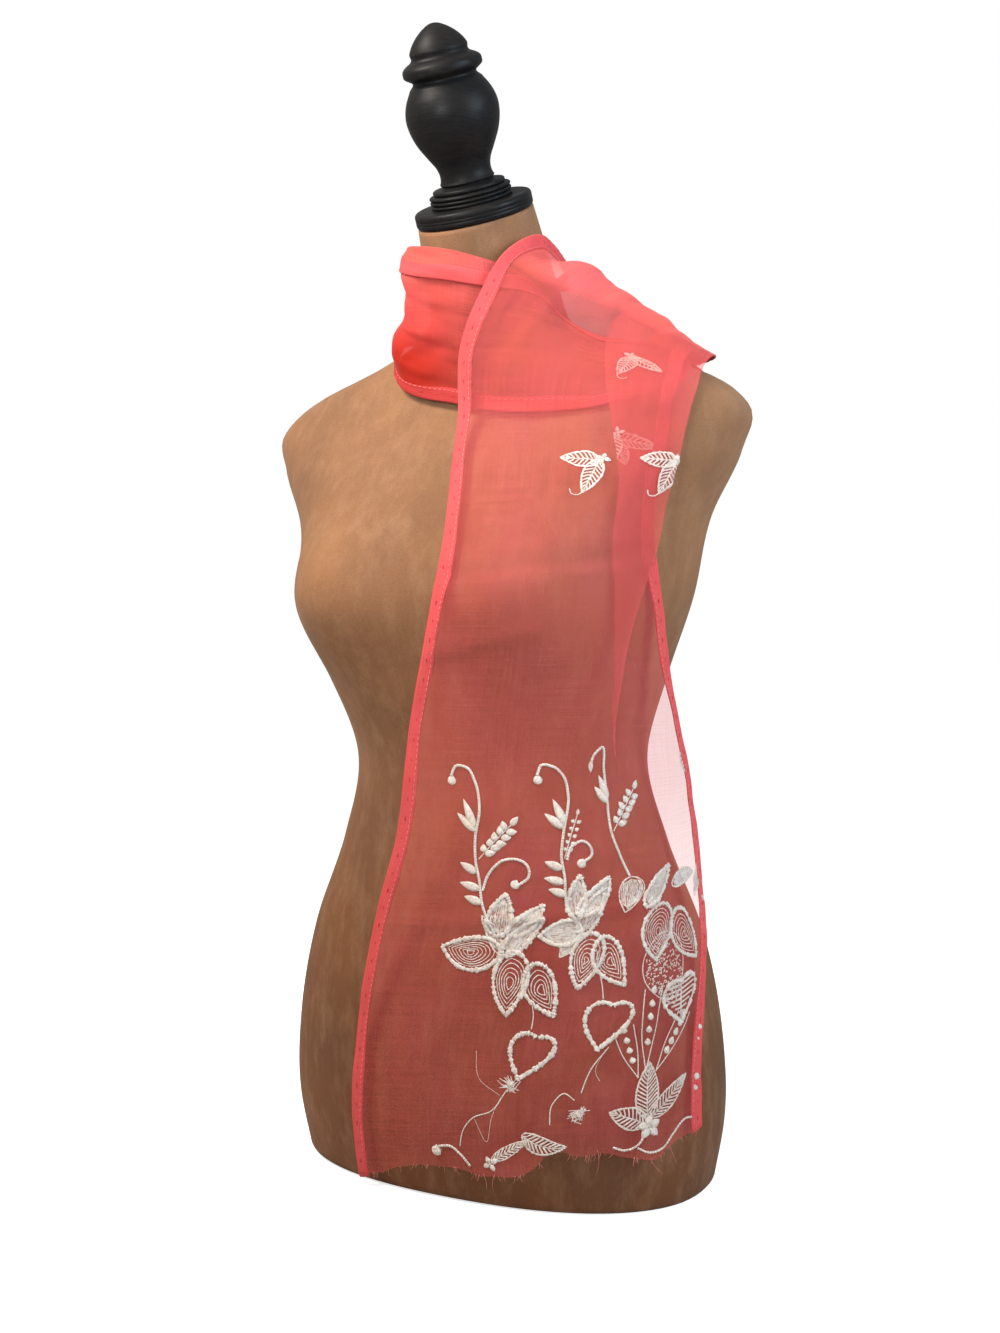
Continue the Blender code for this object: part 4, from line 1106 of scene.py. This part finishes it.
def stitch_last_spray(design):
    """The spray by the second hem: a hooked stem, a flower, a seeded leaf, a barred heart and beaded pods."""
    hook = (132 + 318j, 134 + 326j, 139 + 331j, 142 + 316j)
    design.stem(*hook, 148 + 292j, 156 + 268j, 166 + 252j, 179 + 234j)
    design.drop(132 + 321j, 133 + 313j, 3.4)
    design.drop(148 + 291j, 137 + 303j, 5.6)
    design.drop(148 + 293j, 139 + 311j, 5.6)
    design.sprig_of_drops(157 + 270j, 168 + 300j, 5, 8.0)
    design.petal(180 + 233j, 184 + 205j, 18, "along", 3.0, 0.5)
    design.petal(198 + 208j, 215 + 238j, 15, "along", 0.0)
    design.petal(222 + 222j, 250 + 226j, 13, "along", 2.0, 0.7)
    design.petal(256 + 206j, 263 + 236j, 9, "along", 1.0, 0.6)
    design.petal(212 + 208j, 218 + 164j, 27, "echo", 0.0)
    design.petal(230 + 200j, 262 + 156j, 22, "echo", -2.0)
    design.petal(218 + 184j, 242 + 124j, 36, "seeds", -1.0, 0.4)
    design.heart(248 + 128j, 20, 0.16, bars=True)
    design.pod(221 + 68j, 204 + 112j, 14, 4)
    design.pod(226 + 72j, 221 + 142j, 14, 5)
    design.pod(234 + 70j, 254 + 114j, 14, 5)
    design.petal(230 + 34j, 228 + 79j, 17, "bars", 0.0, 0.6)
    design.petal(233 + 34j, 262 + 57j, 15, "bars", -1.0, 0.6)
    design.petal(228 + 30j, 203 + 44j, 16, "bars", -1.0, 0.6)
    design.blossom(231 + 27j, 10, 5, 0.3)
    design.stem(205 + 17j, 214 + 13j, 222 + 15j, 228 + 22j, radius=0.75)
    design.stem(222 + 13j, 231 + 7j, 241 + 7j, 250 + 14j, 262 + 20j, 268 + 18j, radius=0.75)
    for place, size in EDGE_BUDS:
        design.bud(place, size)
    design.petal(230 + 322j, 236 + 306j, 8, "bars", 0.0, 0.5)


def stitched_design():
    """All the embroidery: three sprays that climb from the frayed end, and small motifs further up."""
    design = Embroidery(11)
    stitch_first_spray(design)
    stitch_middle_spray(design)
    stitch_last_spray(design)
    for place, turn in SCATTERED:
        design.scatter(place, turn)
    return design


def add_embroidery(cloth, looks):
    """The design in raised thread on the cloth's face."""
    paths, radii, facing, flatness = [], [], [], []
    for places, radius, flat in stitched_design().lines:
        height = radius * MM * flat * THREAD_SINK
        point, face, _, _ = cloth.place(places.imag * MM, places.real * MM, height)
        paths.append(point)
        radii.append(radius * MM)
        facing.append(face)
        flatness.append(flat)
    return add_tubes("embroidery", paths, radii, 6, looks, flatness, facing)


def add_stitches(name, cloth, edges, looks, inward, pitch, length, radius):
    """Stitches along the hems, a distance in from each edge."""
    paths, facing = [], []
    for from_edge in edges:
        for start in np.arange(STITCHED_FROM, BACK_END - STITCHED_SHORT, pitch):
            run = start + np.linspace(0, length, 4)
            rise = radius * np.array([-0.8, 0.6, 0.6, -0.8]) + HEM_THICK / 2
            point, face, _, _ = cloth.place(run, from_edge(run, np.full(4, inward)), rise)
            paths.append(point)
            facing.append(face)
    return add_tubes(name, paths, [radius] * len(paths), 5, looks, [0.8] * len(paths), facing)


def add_frayed_threads(cloth, looks):
    """Loose threads that hang from the cut end."""
    random = np.random.default_rng(5)
    paths, radii = [], []
    for start in np.sort(random.uniform(*FRAYED_SIDES, FRAYED_THREADS)):
        run = frayed_edge(np.array([start]))
        point, face, ahead, side = (value[0] for value in cloth.place(run, [start], 0.0))
        length = random.uniform(*FRAYED_LENGTHS) * (1 + 2.0 * (random.uniform() > 0.92))
        sway, lean = random.uniform(-0.5, 0.5, 2)
        share = np.linspace(-0.2, 1, 7)[:, None]
        aside = side * length * (sway * share + lean * share**2)
        path = point - ahead * length * share + aside + FRAYED_LIFT * face
        paths.append(path)
        radii.append(FRAYED_RADIUS * (1.15 - 0.5 * np.linspace(0, 1, 7)))
    return add_tubes("frayed_threads", paths, radii, 4, looks)


def form_ring(centre, tilt, inset):
    """A ring of the figure in a plane tilted forward from level, drawn in by an inset."""
    angle = np.linspace(0, 2 * math.pi, FORM_SIDES, endpoint=False)
    across, back = np.cos(angle), np.sin(angle)
    direction = np.stack([across, back * math.cos(tilt), back * math.sin(tilt)], axis=1)
    start = np.repeat(np.asarray(centre, float)[None], FORM_SIDES, axis=0)
    radius = reach(start, direction, np.zeros(FORM_SIDES), FIGURE) - inset
    return start + radius[:, None] * direction


def add_form(looks):
    """The form's suede cover, drawn tight over its padding."""
    rings = []
    for angle in np.linspace(0, math.pi / 2, BASE_RINGS, endpoint=False):
        height = BASE_ROUNDING * (1 - math.cos(angle))
        rings.append(form_ring((0, 0, height), 0, BASE_ROUNDING * (1 - math.sin(angle))))
    for height in np.linspace(BASE_ROUNDING, TORSO_TOP, TORSO_RINGS):
        rings.append(form_ring((0, 0, height), 0, 0))
    for share in np.linspace(0, 1, NECK_RINGS):
        along = NECK_START + (NECK_LENGTH - NECK_START) * share
        tilt = NECK_TILT * eased(2 * share / NECK_TURNED - 1)
        rings.append(form_ring(NECK_FOOT + along * NECK_AXIS, tilt, 0))
    rings = np.array(rings)
    faces = [face[::-1] for face in tube_faces(len(rings), FORM_SIDES)]
    return mesh_object("form_cover", rings, faces, looks)


def arc(along, radius, across, tall, first, last, pieces):
    """Rows of a profile round part of an ellipse, from one angle to another in degrees."""
    rows = []
    for angle in np.radians(np.linspace(first, last, pieces + 1)):
        rows.append((along + tall * math.sin(angle), radius + across * math.cos(angle)))
    return rows


def cap_profile():
    """The plate on the neck, with two fine lines cut round its rim, and the three thin steps above it."""
    rows = [(0, PLATE_RADIUS - EDGE_ROUND)]
    rows += arc(EDGE_ROUND, PLATE_RADIUS - EDGE_ROUND, EDGE_ROUND, EDGE_ROUND, -PLATE_UNDERCUT, 0, 6)
    for line in PLATE_LINES:
        cut = (line, PLATE_RADIUS - LINE_REACH)
        rows += [(line - LINE_REACH, PLATE_RADIUS), cut, (line + LINE_REACH, PLATE_RADIUS)]
    rows += arc(PLATE_THICK - EDGE_ROUND, PLATE_RADIUS - EDGE_ROUND, EDGE_ROUND, EDGE_ROUND, 0, 90, 7)
    for step in range(STEPS):
        bottom = PLATE_THICK + step * STEP_TALL
        rows.append((bottom, STEP_RADIUS - STEP_GROOVE))
        middle, inner = bottom + STEP_TALL / 2, STEP_RADIUS - STEP_GROOVE
        rows += arc(middle, inner, STEP_GROOVE, STEP_BULGE, -STEP_TURN, STEP_TURN, 8)
        rows.append((bottom + STEP_TALL, STEP_RADIUS - STEP_GROOVE))
    return rows


def finial_profile():
    """The finial's outline, its smooth table read closely."""
    places = np.unique(np.concatenate([FINIAL.rows[:, 0], np.arange(4, FINIAL.rows[-1, 0], 0.8)]))
    return [(place, float(FINIAL.at("radius", place))) for place in places]


def add_turned(name, profile, start, looks):
    """A solid turned round the neck's axis from rows of (distance along, radius) in millimetres."""
    angle = np.linspace(0, 2 * math.pi, TURNED_SIDES, endpoint=False)
    side = np.array([1.0, 0, 0])
    back = np.cross(NECK_AXIS, side)
    rings = []
    for along, radius in profile:
        centre = NECK_FOOT + (start + along * MM) * NECK_AXIS
        rings.append(centre + radius * MM * (np.cos(angle)[:, None] * side + np.sin(angle)[:, None] * back))
    faces = [face[::-1] for face in tube_faces(len(rings), TURNED_SIDES)]
    piece = mesh_object(name, np.array(rings), faces, looks)
    piece.data.set_sharp_from_angle(angle=SHARP_ANGLE)
    return piece


class Looks:
    """A node material built step by step round one Principled shader."""

    def __init__(self, name, **settings):
        self.material = bpy.data.materials.new(name)
        self.material.use_nodes = True
        self.tree = self.material.node_tree
        self.shader = self.tree.nodes["Principled BSDF"]
        for socket, value in settings.items():
            self.shader.inputs[socket.replace("_", " ")].default_value = value

    def node(self, kind, inputs=(), **settings):
        node = self.tree.nodes.new(kind)
        for setting, value in settings.items():
            setattr(node, setting, value)
        for socket, value in dict(inputs).items():
            if isinstance(value, bpy.types.NodeSocket):
                self.tree.links.new(value, node.inputs[socket])
            else:
                node.inputs[socket].default_value = value
        return node

    def join(self, output, socket):
        self.tree.links.new(output, self.shader.inputs[socket])

    def coordinates(self, which, scale):
        place = self.node("ShaderNodeTexCoord").outputs[which]
        return self.node("ShaderNodeMapping", {"Vector": place, "Scale": scale}).outputs["Vector"]

    def noise(self, which, scale, detail=3.0, roughness=0.55):
        vector = self.coordinates(which, scale)
        inputs = {"Vector": vector, "Scale": 1.0, "Detail": detail, "Roughness": roughness}
        return self.node("ShaderNodeTexNoise", inputs).outputs["Fac"]

    def bands(self, which, scale, period):
        """Fine stripes across the first coordinate, one for each period."""
        vector = self.coordinates(which, scale)
        inputs = {"Vector": vector, "Scale": WAVE_PERIOD / period}
        return self.node("ShaderNodeTexWave", inputs, wave_type="BANDS", bands_direction="X").outputs["Fac"]

    def ranged(self, value, low, high, start=0.0, stop=1.0):
        inputs = {"Value": value, "From Min": start, "From Max": stop, "To Min": low, "To Max": high}
        return self.node("ShaderNodeMapRange", inputs).outputs["Result"]

    def sum(self, a, b):
        return self.node("ShaderNodeMath", {0: a, 1: b}, operation="ADD").outputs[0]

    def mixed(self, share, a, b):
        node = self.node("ShaderNodeMix", {"Factor": share}, data_type="RGBA")
        for socket, value in ((node.inputs[6], a), (node.inputs[7], b)):
            if isinstance(value, bpy.types.NodeSocket):
                self.tree.links.new(value, socket)
            else:
                socket.default_value = (*value, 1)
        return node.outputs[2]

    def bump(self, height, strength, distance):
        inputs = {"Height": height, "Strength": strength, "Distance": distance}
        self.join(self.node("ShaderNodeBump", inputs).outputs["Normal"], "Normal")


def chiffon(name, colours):
    """Sheer cloth: the mesh says what share of what is behind it shows through its gaps, a little less along
    thicker threads, and how much painted shade deepens its colour."""
    looks = Looks(name, Roughness=0.75, Sheen_Weight=0.12, Sheen_Roughness=0.35, Specular_IOR_Level=0.06)
    looks.shader.inputs["Sheen Tint"].default_value = (1.0, 0.55, 0.5, 1)
    warp = looks.noise("UV", (14, 1500, 1), 2.0)
    weft = looks.noise("UV", (1500, 14, 1), 2.0)
    clouds = looks.noise("UV", (9, 14, 1), 3.0)
    ways = (looks.ranged(way, -THREAD_VARIES, THREAD_VARIES, 0.3, 0.7) for way in (warp, weft))
    threads = looks.sum(*ways)
    gaps = looks.node("ShaderNodeAttribute", attribute_name="gaps").outputs["Fac"]
    shaded = looks.node("ShaderNodeAttribute", attribute_name="shaded").outputs["Fac"]
    varied = looks.sum(looks.ranged(clouds, -1 - CLOUD_VARIES, CLOUD_VARIES - 1, 0.3, 0.7), threads)
    covered = looks.node("ShaderNodeMath", {0: gaps, 1: varied, 2: 1.0}, operation="MULTIPLY_ADD").outputs[0]
    looks.join(covered, "Alpha")
    shade = looks.mixed(looks.ranged(clouds, 0, 1, 0.3, 0.7), *colours)
    shining = looks.mixed(looks.ranged(threads, 0, 0.3, -0.04, 0.08), shade, THREAD_SHINE)
    # Painted shade: the colour is mixed towards a deep red where the shaded attribute says the cloth lies
    # under its turned-over top edge.
    looks.join(looks.mixed(shaded, shining, PAINTED_SHADE_RED), "Base Color")
    weave = looks.sum(looks.bands("UV", (1, 1, 1), WEAVE_PITCH), looks.bands("UV", (0, 1, 1), WEAVE_PITCH))
    looks.bump(looks.sum(weave, looks.ranged(warp, 0, 2)), 0.08, 0.0002)
    return looks.material


def embroidery_thread(name, colours):
    """Shiny rayon thread laid in close stitches across each line."""
    looks = Looks(name, Roughness=0.55, Sheen_Weight=0.3, Specular_IOR_Level=0.35)
    stitches = looks.bands("UV", (1, 1, 1), SATIN_PITCH)
    patches = looks.noise("Object", (160, 160, 160), 3.0)
    tufts = looks.noise("Object", (620, 620, 620), 2.0)
    shade = looks.mixed(looks.ranged(patches, 0, 1, 0.35, 0.65), *colours)
    # Painted shade: the thread darkens in the gaps between stitches, and a painted shadow colour falls in
    # small patches among its tufts.
    darker = looks.mixed(looks.ranged(stitches, 0, 0.35), shade, tuple(0.6 * c for c in colours[0]))
    looks.join(looks.mixed(looks.ranged(tufts, 0.6, 0, 0.34, 0.50), darker, THREAD_SHADOW), "Base Color")
    looks.bump(looks.sum(stitches, looks.ranged(tufts, 0, 2)), 0.7, 0.0005)
    return looks.material


def plain_thread(name, colour):
    """Thin sewing thread."""
    looks = Looks(name, Roughness=0.6, Specular_IOR_Level=0.3)
    patches = looks.noise("Object", (90, 90, 90), 2.0)
    darker = tuple(0.75 * c for c in colour)
    looks.join(looks.mixed(looks.ranged(patches, 0, 1, 0.35, 0.65), colour, darker), "Base Color")
    return looks.material


def suede(name):
    """Brushed brown suede cloth with painted shade that darkens it towards the hips, its nap lighter and
    darker in patches.
    """
    looks = Looks(name, Roughness=0.92, Sheen_Weight=0.10, Sheen_Roughness=0.5, Specular_IOR_Level=0.1)
    looks.shader.inputs["Sheen Tint"].default_value = (1.0, 0.8, 0.62, 1)
    patches = looks.noise("Object", (11, 11, 7), 5.0, 0.6)
    strokes = looks.noise("Object", (70, 70, 26), 4.0, 0.65)
    grain = looks.noise("Object", (1300, 1300, 1300), 2.0)
    place = looks.coordinates("Object", (1, 1, 1))
    height = looks.node("ShaderNodeSeparateXYZ", {"Vector": place}).outputs["Z"]
    # Painted shade: the suede's colour darkens with height, from the chest down towards the hips.
    base = looks.mixed(looks.ranged(height, 0, 1, 0.10, 0.60), SUEDE_SHADED_LOW, SUEDE_LIT_HIGH)
    dark = looks.mixed(looks.ranged(patches, 0, 0.55, 0.35, 0.7), base, SUEDE_DARK)
    light = looks.mixed(looks.ranged(strokes, 0, 0.35, 0.45, 0.75), dark, SUEDE_LIGHT)
    looks.join(looks.mixed(looks.ranged(grain, 0, 0.5, 0.4, 0.8), light, SUEDE_DARK), "Base Color")
    looks.bump(looks.sum(grain, looks.ranged(strokes, 0, 1.5)), 0.35, 0.0006)
    return looks.material


def black_wood(name):
    """Turned wood stained black under a thin satin finish, its colour and gloss a little patchy."""
    looks = Looks(name, Specular_IOR_Level=0.1)
    grain = looks.noise("Object", (90, 90, 900), 4.0, 0.6)
    patches = looks.noise("Object", (35, 35, 35), 3.0)
    base = looks.mixed(looks.ranged(grain, 0, 1, 0.35, 0.7), BLACK_DEEP, BLACK_WORN)
    looks.join(looks.mixed(looks.ranged(patches, 0, 0.5, 0.5, 0.8), base, BLACK_PATCH), "Base Color")
    looks.join(looks.ranged(patches, 0.36, 0.52, 0.3, 0.7), "Roughness")
    looks.bump(looks.sum(grain, patches), 0.12, 0.0006)
    return looks.material


def add_floor():
    """A plain pale floor, which throws less light back up than the camera sees."""
    looks = Looks("pale_floor", Roughness=0.8, Specular_IOR_Level=0.1)
    seen = looks.node("ShaderNodeLightPath").outputs["Is Camera Ray"]
    looks.join(looks.mixed(seen, FLOOR_BOUNCE, FLOOR_SEEN), "Base Color")
    looks.shader.inputs["Emission Color"].default_value = (1, 1, 1, 1)
    looks.join(looks.ranged(seen, 0, FLOOR_GLOW), "Emission Strength")
    bpy.ops.mesh.primitive_plane_add(size=FLOOR_SIZE)
    floor = bpy.context.object
    floor.name = "floor"
    floor.data.materials.append(looks.material)


def add_light(name, place, target, size, spread, power, colour):
    light = bpy.data.lights.new(name, "AREA")
    light.shape = "DISK"
    light.size = size
    light.spread = math.radians(spread)
    light.energy = power
    light.color = colour
    lamp = bpy.data.objects.new(name, light)
    lamp.location = place
    lamp.rotation_euler = (Vector(target) - Vector(place)).to_track_quat("-Z", "Y").to_euler()
    bpy.context.scene.collection.objects.link(lamp)


def light_scene():
    """Soft light before a white backdrop: a warm key high and near, a weak front light and a cool fill."""
    world = bpy.data.worlds.new("studio")
    world.use_nodes = True
    nodes = world.node_tree.nodes
    seen = nodes.new("ShaderNodeLightPath").outputs["Is Camera Ray"]
    strength = nodes.new("ShaderNodeMapRange")
    world.node_tree.links.new(seen, strength.inputs["Value"])
    strength.inputs["To Min"].default_value = WORLD_LIGHT
    world.node_tree.links.new(strength.outputs["Result"], nodes["Background"].inputs["Strength"])
    nodes["Background"].inputs["Color"].default_value = (1, 1, 1, 1)
    bpy.context.scene.world = world
    for light in LIGHTS:
        add_light(*light)
    bpy.context.scene.view_settings.view_transform = "Standard"


def add_camera():
    """The camera, low and level, off the form's left front."""
    angle, pitch = math.radians(CAMERA_TURN), math.radians(CAMERA_PITCH)
    data = bpy.data.cameras.new("camera")
    data.sensor_width = SENSOR_WIDTH
    data.lens = CAMERA_LENS
    camera = bpy.data.objects.new("camera", data)
    right = Vector((math.cos(angle), math.sin(angle), 0))
    ahead = Vector((-math.sin(angle) * math.cos(pitch), math.cos(angle) * math.cos(pitch), math.sin(pitch)))
    level = Vector((ahead.x, ahead.y, 0)).normalized()
    camera.location = Vector((0, 0, CAMERA_HEIGHT)) - CAMERA_DISTANCE * level + CAMERA_ASIDE * right
    camera.rotation_euler = ahead.to_track_quat("-Z", "Y").to_euler()
    camera.rotation_euler.rotate_axis("Z", -math.radians(CAMERA_ROLL))
    bpy.context.scene.collection.objects.link(camera)
    bpy.context.scene.camera = camera


def main():
    """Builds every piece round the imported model."""
    add_camera()
    light_scene()
    bpy.context.scene.cycles.transparent_max_bounces = LAYERS_SEEN
    add_floor()
    cloth = Cloth()
    form = add_form(suede("form_suede"))
    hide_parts("form_body")
    wood = black_wood("black_wood")
    cap_start = NECK_LENGTH + PIECE_GAP
    cap = add_turned("cap_turned", cap_profile(), cap_start, wood)
    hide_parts("neck_cap")
    finial_start = cap_start + CAP_TALL * MM + PIECE_GAP
    top = add_turned("finial_turned", finial_profile(), finial_start, wood)
    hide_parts("finial")
    panel = add_panel(cloth, chiffon("sheer_chiffon", (CORAL, PINK)))
    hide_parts("front_tail", "neck_wrap", "neck_band", "back_tail")
    hem_looks = chiffon("hem_chiffon", (HEM_PINK, HEM_CORAL))
    first = add_hem("first_hem", cloth, lambda run, inward: np.asarray(inward), hem_looks)
    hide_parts("tail_left_hem", "wrap_top_hem", "back_left_hem")
    second = add_hem("second_hem", cloth, lambda run, inward: cloth.end(run) - np.asarray(inward), hem_looks)
    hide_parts("tail_right_hem", "band_lower_hem", "back_right_hem")
    thread = embroidery_thread("cream_thread", (CREAM, IVORY))
    edges = (lambda run, inward: inward, lambda run, inward: cloth.end(run) - inward)
    stitching = plain_thread("pink_thread", STITCH_PINK)
    tacking = plain_thread("deep_pink_thread", TACK_PINK)
    stitches = (STITCH_INWARD, STITCH_PITCH, STITCH_LENGTH, STITCH_RADIUS)
    tacks = (TACK_INWARD, TACK_PITCH, TACK_LENGTH, TACK_RADIUS)
    on_cloth = [
        first,
        second,
        add_embroidery(cloth, thread),
        add_stitches("hem_stitches", cloth, edges, stitching, *stitches),
        add_stitches("hem_tacks", cloth, edges, tacking, *tacks),
        add_frayed_threads(cloth, stitching),
    ]


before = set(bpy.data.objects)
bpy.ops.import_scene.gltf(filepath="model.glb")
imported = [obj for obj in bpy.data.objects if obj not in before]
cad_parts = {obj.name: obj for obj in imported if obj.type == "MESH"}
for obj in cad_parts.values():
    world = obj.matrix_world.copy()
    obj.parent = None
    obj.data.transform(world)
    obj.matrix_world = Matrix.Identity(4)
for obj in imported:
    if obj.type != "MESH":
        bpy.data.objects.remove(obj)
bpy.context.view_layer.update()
main()
